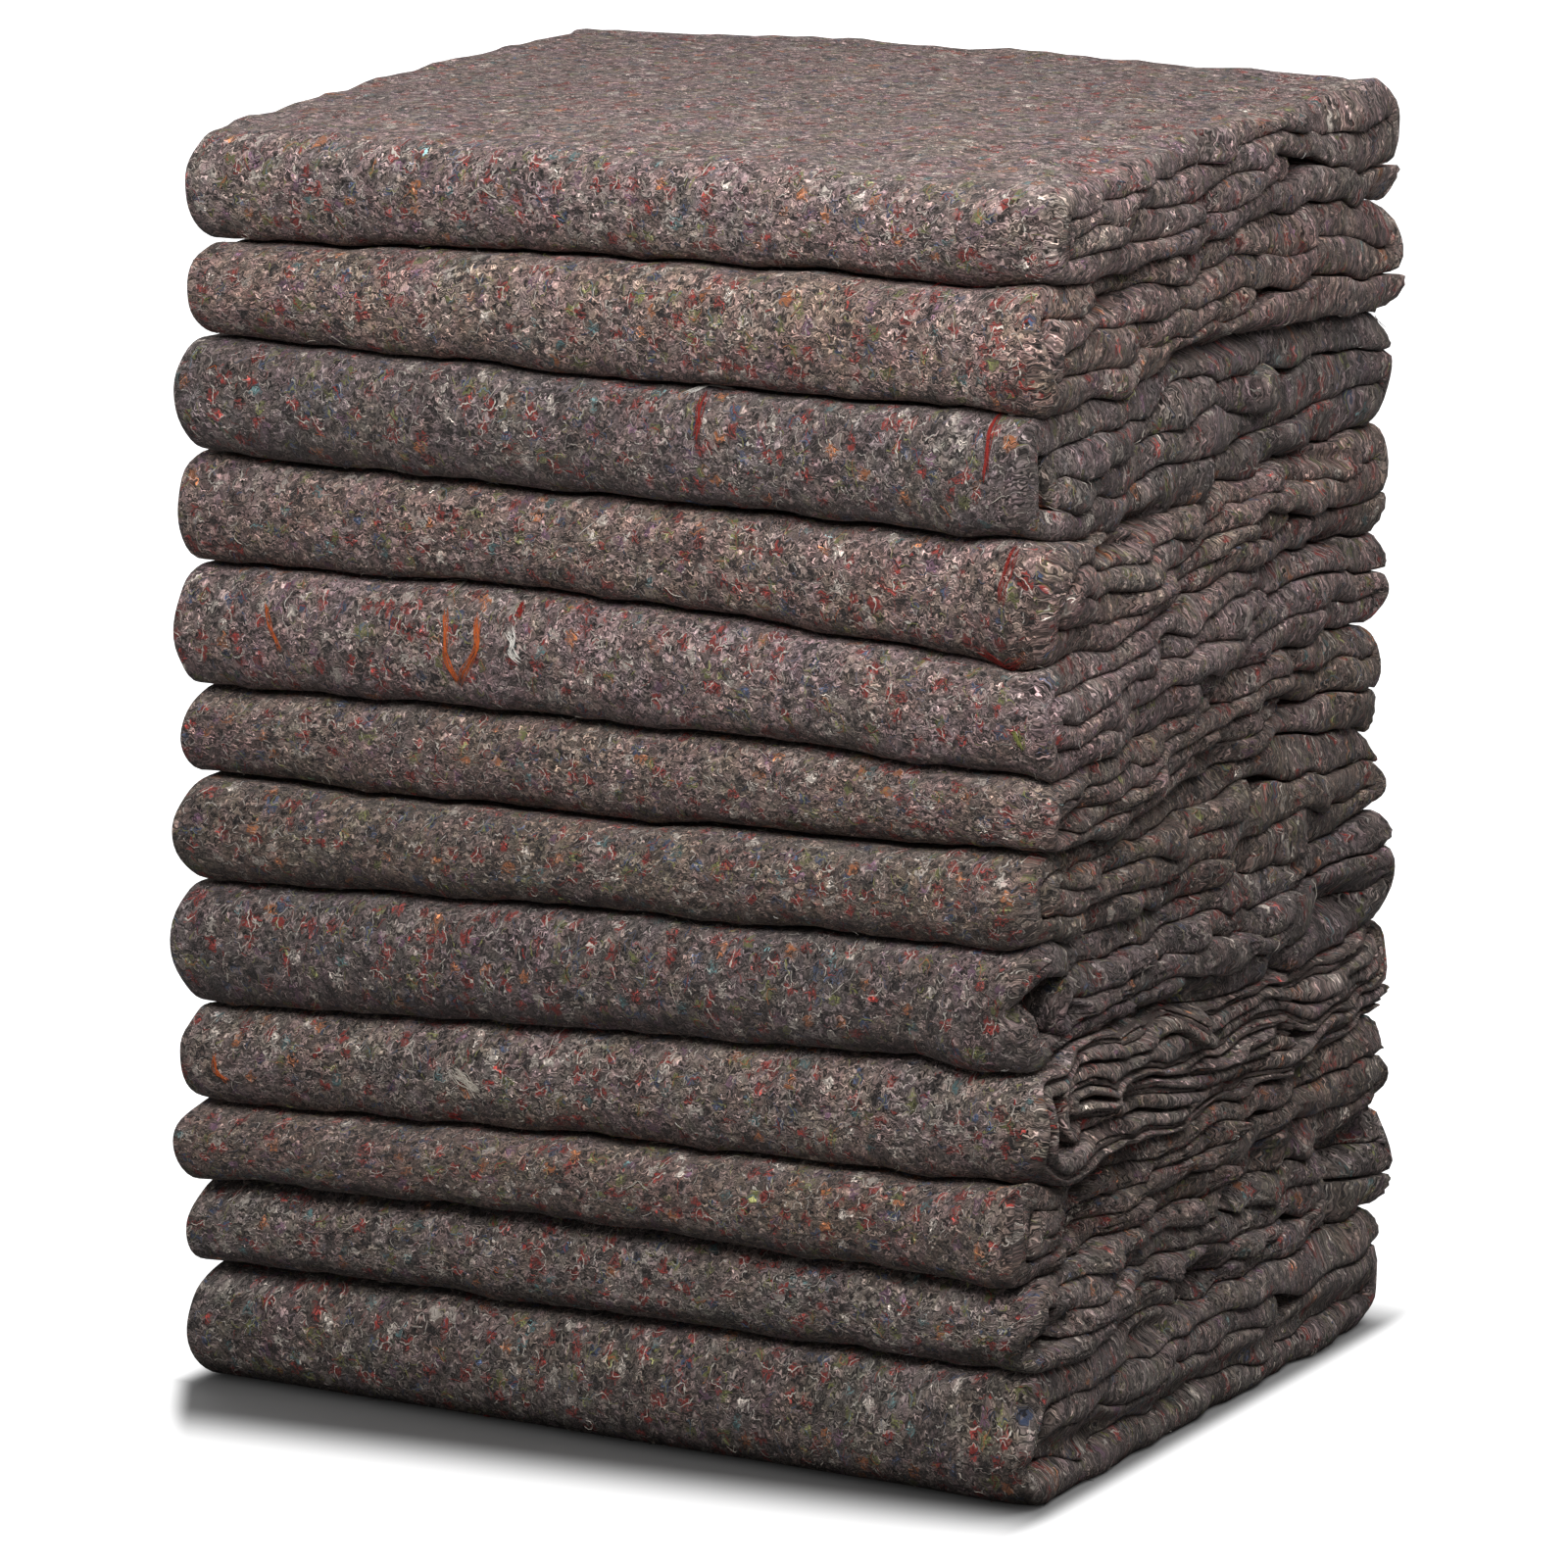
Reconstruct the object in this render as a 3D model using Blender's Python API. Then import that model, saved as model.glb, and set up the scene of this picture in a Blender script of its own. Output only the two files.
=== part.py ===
"""Stack of twelve folded moving blankets of recycled felt, one solid a blanket.

Each blanket is a strip four felts thick, laid back and forth in four runs: a big
fold at the front wraps a smaller one, with one fold and two raw ends at the back.
X runs along the smooth front fold, Y from the front to the back, Z up, in metres.
The origin is under the middle of the stack, on the surface that it stands on.
"""
import math
from collections import namedtuple

import bpy
import numpy as np

MM = 0.001

# The folded stack
FACE_WIDTH = 0.460        # along the front fold
DEPTH = 0.386             # front fold to back
CUT_LENGTH = 1.372        # the strip laid out straight
RUNS = 4                  # strip runs on each other in a blanket
RUN_THICKNESS = 0.0118    # four felts
PLAIN_HEIGHT = 0.052      # a blanket before the stack presses it
RUN_PITCH = (PLAIN_HEIGHT - RUN_THICKNESS) / (RUNS - 1)
SEAM_GAP = 0.0016         # air between two blankets
OUTER_END = 0.002         # from the back to the outer run's raw end

# The big fold at the front
NOSE_DEPTH = 0.0175       # how far its middle line swings out
NOSE_RISE = 0.5 * (PLAIN_HEIGHT - RUN_THICKNESS)
NOSE_SQUARENESS = 2.5     # 2 is a half circle, more is flatter in front

# How finely the strip is stepped
NOSE_STEPS = 8
SMALL_FOLD_STEPS = 4
RUN_STATIONS = (-0.145, -0.0965, -0.05, 0.0, 0.05, 0.0965, 0.145)    # along Y, shared by all runs
STATION_ROOM = 0.012      # a station is left out where a run ends closer than this
RIGHT_END_STEPS = ((0.0, 0.42), (0.0022, 0.82), (0.0065, 1.0))    # in from the end, share of thickness
LEFT_END_STEPS = ((0.0, 0.50), (0.0045, 1.0))
MIDDLE_STATIONS = (-0.1, 0.1)

# Waves of the runs inside a blanket, which start behind the front fold and turn slowly along X
RUN_WAVE_LENGTH = 0.190
RUN_WAVE_TURN = 5.0       # radians a metre
RUN_TWIST_LENGTH = 0.118
RUN_TWIST_TURN = 3.0
RUN_TWIST_SHARE = 0.5     # of the wave's size
CALM_DEPTH = 0.064        # the waves reach full size this far behind the front

# Waves of the layered right end, out of step from run to run
END_WAVE = 0.0045         # how far it is drawn in between its waves
END_WAVE_LENGTH = 0.105
END_WAVE_STEP = 7.0       # radians over the height of a blanket
END_ROOM = 0.010          # the stations this close to the right end move with it

# Behind the free end of the inner run the other three swell into its room
SPREAD_START = 0.004
SPREAD_LENGTH = 0.060

# One row a blanket from the floor up, lengths in mm.
# left, middle, near: height of the seam over it along the front fold, from its left to its right end
# quarter, half, more, far: height of the same seam along the right end, at the quarters of the depth
# front, back, side: how far it stands out there; end_near, end_far: the same of the right end's corners
# core: how far the small fold sits behind the big one; wave, phase: of its inner runs
# turned: 1 where its free run lies below the middle, as on a blanket laid upside down
Blanket = namedtuple("Blanket", "left middle near quarter half more far"
                                " front back side end_near end_far core wave phase turned")
BLANKETS = (
    Blanket(54.0, 60.0, 62.0, 65.0, 61.0, 56.0, 58.5, -0.5, -2.0, 2.1, 0.5, 0.0, 12, 2.6, 0.4, 0),
    Blanket(99.5, 105.0, 103.5, 111.0, 108.0, 103.0, 109.5, -1.4, 2.0, 5.0, 1.2, -2.0, 18, 2.4, 2.1, 1),
    Blanket(137.0, 146.0, 150.5, 156.0, 148.0, 150.0, 158.0, 5.4, -3.0, 6.8, -4.8, 1.0, 4, 1.6, 3.7, 0),
    Blanket(185.0, 200.0, 208.5, 212.0, 204.0, 203.0, 208.5, 0.0, 1.0, 6.8, 4.8, -1.0, 22, 2.8, 5.2, 1),
    Blanket(250.0, 259.5, 266.0, 262.0, 260.0, 257.0, 261.5, 2.6, -2.0, 6.5, -2.3, 0.0, 26, 3.0, 1.3, 0),
    Blanket(300.0, 302.0, 309.5, 308.0, 313.0, 316.0, 300.0, 1.4, 1.0, 3.7, -1.3, -4.5, 6, 1.8, 4.4, 0),
    Blanket(343.0, 349.0, 345.5, 347.0, 359.0, 362.0, 356.0, -6.1, -4.0, 5.4, 5.3, -3.7, 3, 2.0, 0.9, 1),
    Blanket(405.5, 407.5, 396.5, 398.0, 406.0, 406.0, 402.0, -1.5, -1.0, 7.3, 5.5, -4.0, 2, 2.6, 2.8, 0),
    Blanket(460.5, 459.0, 457.5, 448.0, 452.0, 457.0, 456.0, -4.5, -3.0, 5.8, 3.9, -3.8, 3, 2.3, 5.9, 1),
    Blanket(516.0, 513.5, 514.0, 514.0, 522.0, 517.0, 511.0, 3.2, -4.0, 0.6, -2.8, -4.2, 14, 2.5, 1.8, 0),
    Blanket(562.0, 569.5, 571.5, 570.0, 572.0, 576.0, 567.0, 1.7, 3.0, -6.3, -1.5, -0.2, 5, 2.2, 3.2, 1),
    Blanket(613.0, 618.0, 615.0, 621.0, 624.5, 626.0, 626.0, -6.7, 0.0, -1.5, 6.0, -0.6, 6, 2.4, 4.9, 1),
)

# Middle of the stack's outermost reaches, which the origin lies under
OFF_X = 0.5 * MM * (max(max(row.end_near, row.end_far) for row in BLANKETS)
                    - max(row.side for row in BLANKETS))
OFF_Y = 0.5 * MM * (max(row.back for row in BLANKETS) - max(row.front for row in BLANKETS))

# Felt of each blanket: grey, mauve or brown by the rags that it was made of
FELT_COLOURS = ((0.118, 0.092, 0.089), (0.112, 0.090, 0.090), (0.150, 0.114, 0.104), (0.142, 0.112, 0.108),
                (0.128, 0.102, 0.104), (0.150, 0.116, 0.105), (0.140, 0.112, 0.103), (0.155, 0.122, 0.120),
                (0.152, 0.120, 0.112), (0.140, 0.114, 0.118), (0.162, 0.124, 0.113), (0.185, 0.146, 0.141))


def clear_scene():
    for item in list(bpy.data.objects):
        bpy.data.objects.remove(item, do_unlink=True)


def felt(name, colour):
    """Needled felt: matt, with no shine."""
    material = bpy.data.materials.new(name)
    material.use_nodes = True
    shader = material.node_tree.nodes["Principled BSDF"]
    shader.inputs["Base Color"].default_value = (*colour, 1.0)
    shader.inputs["Roughness"].default_value = 0.95
    shader.inputs["Metallic"].default_value = 0.0
    material.diffuse_color = (*colour, 1.0)
    return material


def smooth_through(place, values):
    """Smooth curve through evenly spaced values, at a place from 0 to 1: a cubic on each stretch whose
    slope at a value is half the step between its neighbours."""
    values = np.asarray(values, dtype=float)
    spans = len(values) - 1
    stretch = np.clip((place * spans).astype(int), 0, spans - 1)
    t = place * spans - stretch
    slopes = np.gradient(values)
    start, end = values[stretch], values[stretch + 1]
    leave, arrive = slopes[stretch], slopes[stretch + 1]
    return (start + leave * t + (3 * (end - start) - 2 * leave - arrive) * t ** 2
            + (2 * (start - end) + leave + arrive) * t ** 3)


def seam_height(index, x, y):
    """Height of the seam over a blanket: its curve along the front fold plus its rise along the right end."""
    if index < 0:
        return np.zeros_like(x + y)
    row = BLANKETS[index]
    across = np.clip(x / FACE_WIDTH + 0.5, 0.0, 1.0)
    back = np.clip(y / DEPTH + 0.5, 0.0, 1.0)
    along_front = smooth_through(across, (row.left, row.middle, row.near))
    along_end = smooth_through(back, (row.near, row.quarter, row.half, row.more, row.far))
    return (along_front + along_end - row.near) * MM


def on_the_way(start, end, height, spread_from):
    """Points of the middle line between the ends of one straight run, at the stations that all runs share."""
    near, far = min(start, end), max(start, end)
    shared = [y for y in RUN_STATIONS
              if near + STATION_ROOM < y < far - STATION_ROOM and abs(y - spread_from) > STATION_ROOM]
    if near < spread_from < far:
        shared.append(spread_from)
    shared.sort(reverse=bool(start > end))
    return np.array([(y, height) for y in shared])


def fold(centre, height, reach, rise, steps, squareness=2.0):
    """A half turn of the middle line about a centre: a rounded-square arc that swings out by reach."""
    angle = np.linspace(0.5, 1.5, steps + 1) * math.pi
    power = 2.0 / squareness
    y = centre - reach * np.abs(np.cos(angle)) ** power
    z = height + rise * np.sign(np.sin(angle)) * np.abs(np.sin(angle)) ** power
    return np.stack([y, z], axis=1)


def length(line):
    return np.linalg.norm(np.diff(line, axis=0), axis=1).sum()


def fold_path(row):
    """Middle line of the strip in the (y, height) plane, from its raw end at the back to its inner end,
    and the place behind the inner end where the other runs start to swell."""
    half = 0.5 * RUN_THICKNESS
    front = -0.5 * DEPTH - row.front * MM
    back = 0.5 * DEPTH + row.back * MM
    levels = half + RUN_PITCH * np.arange(RUNS)
    small = 0.5 * RUN_PITCH
    middle = 0.5 * PLAIN_HEIGHT
    nose = front + half + NOSE_DEPTH
    inner_nose = nose + row.core * MM + small
    back_turn = back - half - small
    raw_end = np.array([(back - OUTER_END, levels[3])])
    big_fold = fold(nose, middle, NOSE_DEPTH, NOSE_RISE, NOSE_STEPS, NOSE_SQUARENESS)
    back_fold = fold(back_turn, half + small, -small, -small, SMALL_FOLD_STEPS)
    small_fold = fold(inner_nose, middle, small, -small, SMALL_FOLD_STEPS)
    used = length(np.concatenate([raw_end, big_fold, back_fold, small_fold]))
    free_end = inner_nose + CUT_LENGTH - used
    spread_from = free_end + SPREAD_START
    path = np.concatenate([
        raw_end,
        on_the_way(raw_end[0, 0], nose, levels[3], spread_from),
        big_fold,
        on_the_way(nose, back_turn, levels[0], spread_from),
        back_fold,
        on_the_way(back_turn, inner_nose, levels[1], spread_from),
        small_fold,
        on_the_way(inner_nose, free_end, levels[2], spread_from),
        [(free_end, levels[2])],
    ])
    return path, spread_from


def spread(y, height, spread_from):
    """Behind the inner end, let the other three runs swell into the room of the missing one."""
    share = np.clip((y - spread_from) / SPREAD_LENGTH, 0.0, 1.0)
    share = share * share * (3 - 2 * share)
    gap = RUN_PITCH - RUN_THICKNESS
    swollen = (PLAIN_HEIGHT - 2 * gap) / 3
    top = PLAIN_HEIGHT - RUN_THICKNESS
    packed = np.array([0.0, RUN_THICKNESS, RUN_PITCH, RUN_PITCH + RUN_THICKNESS, top, PLAIN_HEIGHT])
    loose = np.array([0.0, swollen, swollen + gap, 2 * swollen + gap, 2 * (swollen + gap), PLAIN_HEIGHT])
    return height + share * (np.interp(height, packed, loose) - height)


def offset_both_ways(path, half):
    """Closed outline of the strip: its middle line moved half a thickness to each side."""
    along = np.gradient(path, axis=0)
    along /= np.linalg.norm(along, axis=1)[:, None]
    aside = np.stack([-along[:, 1], along[:, 0]], axis=1)
    return np.concatenate([path - half * aside, (path + half * aside)[::-1]])


def settle(row, index, x, outline, spread_from):
    """Put a plain outline into the stack at x: swell and wave its runs, then fit it between its seams."""
    y = outline[:, 0]
    share = spread(y, outline[:, 1], spread_from) / PLAIN_HEIGHT
    if row.turned:
        share = 1.0 - share
    calm = np.clip((y + 0.5 * DEPTH) / CALM_DEPTH, 0.0, 1.0)
    wave = np.sin(2 * math.pi * y / RUN_WAVE_LENGTH + row.phase + RUN_WAVE_TURN * x)
    twist = np.sin(2 * math.pi * y / RUN_TWIST_LENGTH - row.phase + RUN_TWIST_TURN * x)
    lift = wave * np.sin(math.pi * share) + RUN_TWIST_SHARE * twist * np.sin(2 * math.pi * share)
    share = share + calm * row.wave * MM * lift / PLAIN_HEIGHT
    floor = seam_height(index - 1, x, y) + (SEAM_GAP if index else 0.0)
    ceiling = seam_height(index, x, y)
    return np.stack([np.full_like(y, x), y, floor + share * (ceiling - floor)], axis=1)


def stations(row):
    """Places along X where the strip is sectioned, with the share of its thickness there."""
    left = -0.5 * FACE_WIDTH - row.side * MM
    places = [(left + inward, share) for inward, share in LEFT_END_STEPS]
    places += [(x, 1.0) for x in MIDDLE_STATIONS]
    right = 0.5 * FACE_WIDTH
    places += [(right - inward, share) for inward, share in reversed(RIGHT_END_STEPS)]
    return places


def right_end_shift(row, outline):
    """How far the right end stands out: from its near to its far corner, drawn in by each run's own waves."""
    y, height = outline[:, 0], outline[:, 1]
    back = np.clip(y / DEPTH + 0.5, 0.0, 1.0)
    step = END_WAVE_STEP * height / PLAIN_HEIGHT
    wave = 0.5 - 0.5 * np.cos(2 * math.pi * y / END_WAVE_LENGTH + row.phase + step)
    corner_to_corner = (row.end_near + (row.end_far - row.end_near) * back) * MM
    return corner_to_corner - END_WAVE * wave * np.sin(math.pi * back)


def loft(name, sections):
    """Close a solid through sections with equal numbers of points, with a flat cap at each end."""
    count, around = len(sections), len(sections[0])
    points = np.concatenate(sections)
    i, j = np.meshgrid(np.arange(count - 1), np.arange(around), indexing="ij")
    after = (j + 1) % around
    quads = np.stack([i * around + j, i * around + after,
                      (i + 1) * around + after, (i + 1) * around + j], axis=-1).reshape(-1, 4)
    # An outline runs out along one side of the strip and home along the other, so facing
    # points pair up and a cap is a ladder of quads between the two sides
    rung = np.arange(around // 2 - 1)
    ladder = np.stack([rung, rung + 1, around - 2 - rung, around - 1 - rung], axis=-1)
    last = (count - 1) * around
    faces = quads.tolist() + ladder[:, ::-1].tolist() + (ladder + last).tolist()
    mesh = bpy.data.meshes.new(name)
    mesh.from_pydata(points.tolist(), [], faces)
    mesh.validate()
    mesh.update()
    return mesh


def build_blanket(index, row, collection):
    """One folded blanket: its outline at each station, thinner at both ends, lofted along X."""
    path, spread_from = fold_path(row)
    sections = []
    for x, share in stations(row):
        outline = offset_both_ways(path, 0.5 * RUN_THICKNESS * share)
        section = settle(row, index, x, outline, spread_from)
        if x > 0.5 * FACE_WIDTH - END_ROOM:
            section[:, 0] += right_end_shift(row, outline)
        section -= (OFF_X, OFF_Y, 0.0)
        sections.append(section[::-1] if row.turned else section)
    name = f"blanket_{index + 1:02d}"
    blanket = bpy.data.objects.new(name, loft(name, sections))
    blanket.data.materials.append(felt(f"felt_{index + 1:02d}", FELT_COLOURS[index]))
    collection.objects.link(blanket)
    return blanket


def main():
    clear_scene()
    collection = bpy.data.collections.new("stack_of_moving_blankets")
    bpy.context.scene.collection.children.link(collection)
    for index, row in enumerate(BLANKETS):
        build_blanket(index, row, collection)


main()
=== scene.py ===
"""Looks of a stack of twelve moving blankets of recycled, needled felt.

Each is one cut length, folded on its solid.
A blanket is a sheet of two parameters. u runs along its 1.829 m and is folded in four into a strip four felts
thick. v runs along its 1.372 m and lays that strip back and forth in four runs, a big fold in front round a
smaller one. Both are lengths on the flat sheet in metres, and the felt's pattern is drawn on them.
X runs along the smooth front folds, Y from the front to the back, Z up, in metres.
"""
import math
from collections import namedtuple

import bpy
import numpy as np
from mathutils import Matrix, Vector


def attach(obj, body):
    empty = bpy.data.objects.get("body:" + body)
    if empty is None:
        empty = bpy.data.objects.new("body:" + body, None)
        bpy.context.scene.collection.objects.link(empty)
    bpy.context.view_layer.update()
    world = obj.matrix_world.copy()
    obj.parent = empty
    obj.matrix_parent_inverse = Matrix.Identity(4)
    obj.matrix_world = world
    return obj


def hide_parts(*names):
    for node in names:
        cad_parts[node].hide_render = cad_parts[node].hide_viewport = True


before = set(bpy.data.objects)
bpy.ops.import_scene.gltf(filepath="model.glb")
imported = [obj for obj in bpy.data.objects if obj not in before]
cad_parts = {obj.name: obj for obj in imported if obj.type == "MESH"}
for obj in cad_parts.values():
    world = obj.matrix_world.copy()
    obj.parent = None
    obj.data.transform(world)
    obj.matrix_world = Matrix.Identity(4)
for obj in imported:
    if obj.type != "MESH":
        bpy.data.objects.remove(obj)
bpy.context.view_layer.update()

MM = 0.001

# The folded stack, as its solids have it
FACE_WIDTH = 0.460
DEPTH = 0.386
CUT_LENGTH = 1.372
CUT_WIDTH = 1.829
RUNS = 4
RUN_THICKNESS = 0.0118
PLAIN_HEIGHT = 0.052
RUN_PITCH = (PLAIN_HEIGHT - RUN_THICKNESS) / (RUNS - 1)
SEAM_GAP = 0.0016
OUTER_END = 0.002
NOSE_DEPTH = 0.0175
NOSE_RISE = 0.5 * (PLAIN_HEIGHT - RUN_THICKNESS)
NOSE_SQUARENESS = 2.5
RUN_WAVE_LENGTH = 0.190
RUN_WAVE_TURN = 5.0
RUN_TWIST_LENGTH = 0.118
RUN_TWIST_TURN = 3.0
RUN_TWIST_SHARE = 0.5
END_FLATNESS = 0.56       # reach of the strip's outer turn, as a share of a round one
END_SQUARENESS = 2.3
BACK_FLATNESS = 0.7
CALM_DEPTH = 0.064
END_WAVE = 0.0045
END_WAVE_LENGTH = 0.105
END_WAVE_STEP = 4.1       # radians from one run to the next
SPREAD_START = -0.026
SPREAD_LENGTH = 0.052

# One felt of the strip
FELT = 0.0028             # thickness
FELT_PITCH = 0.0030       # middle to middle of two felts that lie together
EDGE_IN = 0.003           # how far the inner cut edge stays behind the outer one
EDGE_STEPS = ((0.0, 0.35), (0.0006, 0.75), (0.0018, 1.0))    # in from a cut edge, share of the thickness

# How finely the sheet is stepped: faces on each stretch of the two fold lines
ACROSS_STEPS = dict(inner=5, small_turn=5, back=5, left_turn=5, face=6, end_turn=9, front=44)
ALONG_STEP = 0.0085
NOSE_STEPS = 20
TURN_STEPS = 8

# One row a blanket from the floor up, lengths in mm, as the solids have them.
# left, middle, near: height of the seam over it along the front fold, from its left to its right end
# quarter, half, more, far: height of the same seam along the right end, at the quarters of the depth
# front, back, side: how far it stands out there; end_near, end_far: the same of the right end's corners
# core: how far the small fold sits behind the big one; wave, phase: of its inner runs
# turned: 1 where its free run lies below the middle, as on a blanket laid upside down
Blanket = namedtuple("Blanket", "left middle near quarter half more far"
                                " front back side end_near end_far core wave phase turned")
BLANKETS = (
    Blanket(54.0, 60.0, 62.0, 65.0, 61.0, 56.0, 58.5, -0.5, -2.0, 2.1, 0.5, 0.0, 12, 2.6, 0.4, 0),
    Blanket(99.5, 105.0, 103.5, 111.0, 108.0, 103.0, 109.5, -1.4, 2.0, 5.0, 1.2, -2.0, 18, 2.4, 2.1, 1),
    Blanket(137.0, 146.0, 150.5, 156.0, 148.0, 150.0, 158.0, 5.4, -3.0, 6.8, -4.8, 1.0, 4, 1.6, 3.7, 0),
    Blanket(185.0, 200.0, 208.5, 212.0, 204.0, 203.0, 208.5, 0.0, 1.0, 6.8, 4.8, -1.0, 22, 2.8, 5.2, 1),
    Blanket(250.0, 259.5, 266.0, 262.0, 260.0, 257.0, 261.5, 2.6, -2.0, 6.5, -2.3, 0.0, 26, 3.0, 1.3, 0),
    Blanket(300.0, 302.0, 309.5, 308.0, 313.0, 316.0, 300.0, 1.4, 1.0, 3.7, -1.3, -4.5, 6, 1.8, 4.4, 0),
    Blanket(343.0, 349.0, 345.5, 347.0, 359.0, 362.0, 356.0, -6.1, -4.0, 5.4, 5.3, -3.7, 3, 2.0, 0.9, 1),
    Blanket(405.5, 407.5, 396.5, 398.0, 406.0, 406.0, 402.0, -1.5, -1.0, 7.3, 5.5, -4.0, 2, 2.6, 2.8, 0),
    Blanket(460.5, 459.0, 457.5, 448.0, 452.0, 457.0, 456.0, -4.5, -3.0, 5.8, 3.9, -3.8, 3, 2.3, 5.9, 1),
    Blanket(516.0, 513.5, 514.0, 514.0, 522.0, 517.0, 511.0, 3.2, -4.0, 0.6, -2.8, -4.2, 14, 2.5, 1.8, 0),
    Blanket(562.0, 569.5, 571.5, 570.0, 572.0, 576.0, 567.0, 1.7, 3.0, -6.3, -1.5, -0.2, 5, 2.2, 3.2, 1),
    Blanket(613.0, 618.0, 615.0, 621.0, 624.5, 626.0, 626.0, -6.7, 0.0, -1.5, 6.0, -0.6, 6, 2.4, 4.9, 1),
)
OFF_X = 0.5 * MM * (max(max(row.end_near, row.end_far) for row in BLANKETS)
                    - max(row.side for row in BLANKETS))
OFF_Y = 0.5 * MM * (max(row.back for row in BLANKETS) - max(row.front for row in BLANKETS))

# What the looks add to a blanket, in the same order.
# edges_right: 1 where its cut edges lie at the right end, 0 where the smooth fold of the strip does
# ragged: how unevenly its felts end there, in mm; felt: colour of its mixed rags, with the lower blankets
# darker on the whole, which is partly painted shade down the stack
Finish = namedtuple("Finish", "edges_right ragged felt")
FINISHES = (
    Finish(0, 2.0, "#584e4a"),
    Finish(0, 1.8, "#615652"),
    Finish(0, 2.0, "#5d4f49"),
    Finish(1, 1.6, "#675a55"),
    Finish(0, 2.0, "#574c4a"),
    Finish(0, 1.4, "#5c4f48"),
    Finish(0, 1.0, "#655650"),
    Finish(0, 1.0, "#6d5d5b"),
    Finish(0, 1.0, "#6c5b56"),
    Finish(0, 1.2, "#5a4f4d"),
    Finish(0, 1.0, "#715f59"),
    Finish(0, 1.0, "#6d5d5a"),
)


# Shape of the folds

def smooth_through(place, values):
    """Smooth curve through evenly spaced values, at a place from 0 to 1: a cubic on each stretch whose
    slope at a value is half the step between its neighbours."""
    values = np.asarray(values, dtype=float)
    spans = len(values) - 1
    stretch = np.clip((place * spans).astype(int), 0, spans - 1)
    t = place * spans - stretch
    slopes = np.gradient(values)
    start, end = values[stretch], values[stretch + 1]
    leave, arrive = slopes[stretch], slopes[stretch + 1]
    return (start + leave * t + (3 * (end - start) - 2 * leave - arrive) * t ** 2
            + (2 * (start - end) + leave + arrive) * t ** 3)


def ease(value, start, end):
    """0 before start, 1 after end, and three t squared less two t cubed between them."""
    t = np.clip((value - start) / (end - start), 0.0, 1.0)
    return t * t * (3 - 2 * t)


def seam_height(index, x, y):
    """Height of the seam over a blanket: its curve along the front fold plus its rise along the right end."""
    if index < 0:
        return np.zeros_like(x + y)
    row = BLANKETS[index]
    across = np.clip(x / FACE_WIDTH + 0.5, 0.0, 1.0)
    back = np.clip(y / DEPTH + 0.5, 0.0, 1.0)
    along_front = smooth_through(across, (row.left, row.middle, row.near))
    along_end = smooth_through(back, (row.near, row.quarter, row.half, row.more, row.far))
    return (along_front + along_end - row.near) * MM


def fold(centre, height, reach, rise, steps, squareness=2.0):
    """A half turn of the middle line about a centre: a rounded-square arc that swings out by reach."""
    angle = np.linspace(0.5, 1.5, steps + 1) * math.pi
    power = 2.0 / squareness
    y = centre - reach * np.abs(np.cos(angle)) ** power
    z = height + rise * np.sign(np.sin(angle)) * np.abs(np.sin(angle)) ** power
    return np.stack([y, z], axis=1)


FoldLine = namedtuple("FoldLine", "points aside length marks")


def fold_line(stretches):
    """One line through the given stretches, with the unit vector at its left at each point, the length
    up to there, and the lengths at which a stretch ends."""
    points = np.concatenate(stretches)
    steps = np.linalg.norm(np.diff(points, axis=0), axis=1)
    keep = np.concatenate([[True], steps > 1e-9])
    length = np.concatenate([[0.0], np.cumsum(steps)])
    marks = length[np.cumsum([len(stretch) for stretch in stretches]) - 1]
    points, length = points[keep], length[keep]
    along = np.gradient(points, axis=0)
    along /= np.linalg.norm(along, axis=1)[:, None]
    return FoldLine(points, np.stack([-along[:, 1], along[:, 0]], axis=1), length, marks)


def run_line(row):
    """Middle line of the strip in the (y, height) plane, from its raw end at the back to its inner end,
    and the place before the inner end where the other runs start to spread."""
    half = 0.5 * RUN_THICKNESS
    front = -0.5 * DEPTH - row.front * MM
    back = 0.5 * DEPTH + row.back * MM
    levels = half + RUN_PITCH * np.arange(RUNS)
    small = 0.5 * RUN_PITCH
    middle = 0.5 * PLAIN_HEIGHT
    nose = front + half + NOSE_DEPTH
    inner_nose = nose + row.core * MM + small
    back_reach = BACK_FLATNESS * small
    back_turn = back - half - back_reach
    raw_end = np.array([(back - OUTER_END, levels[3])])
    big_fold = fold(nose, middle, NOSE_DEPTH, NOSE_RISE, 4 * NOSE_STEPS, NOSE_SQUARENESS)
    back_fold = fold(back_turn, half + small, -back_reach, -small, 2 * TURN_STEPS, END_SQUARENESS)
    small_fold = fold(inner_nose, middle, small, -small, 2 * TURN_STEPS)
    used = fold_line([raw_end, big_fold, back_fold, small_fold]).length[-1]
    free_end = inner_nose + CUT_LENGTH - used
    inner_end = np.array([(free_end, levels[2])])
    return fold_line([raw_end, big_fold[:1], big_fold, back_fold[:1], back_fold,
                      small_fold[:1], small_fold, inner_end]), free_end + SPREAD_START


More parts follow.
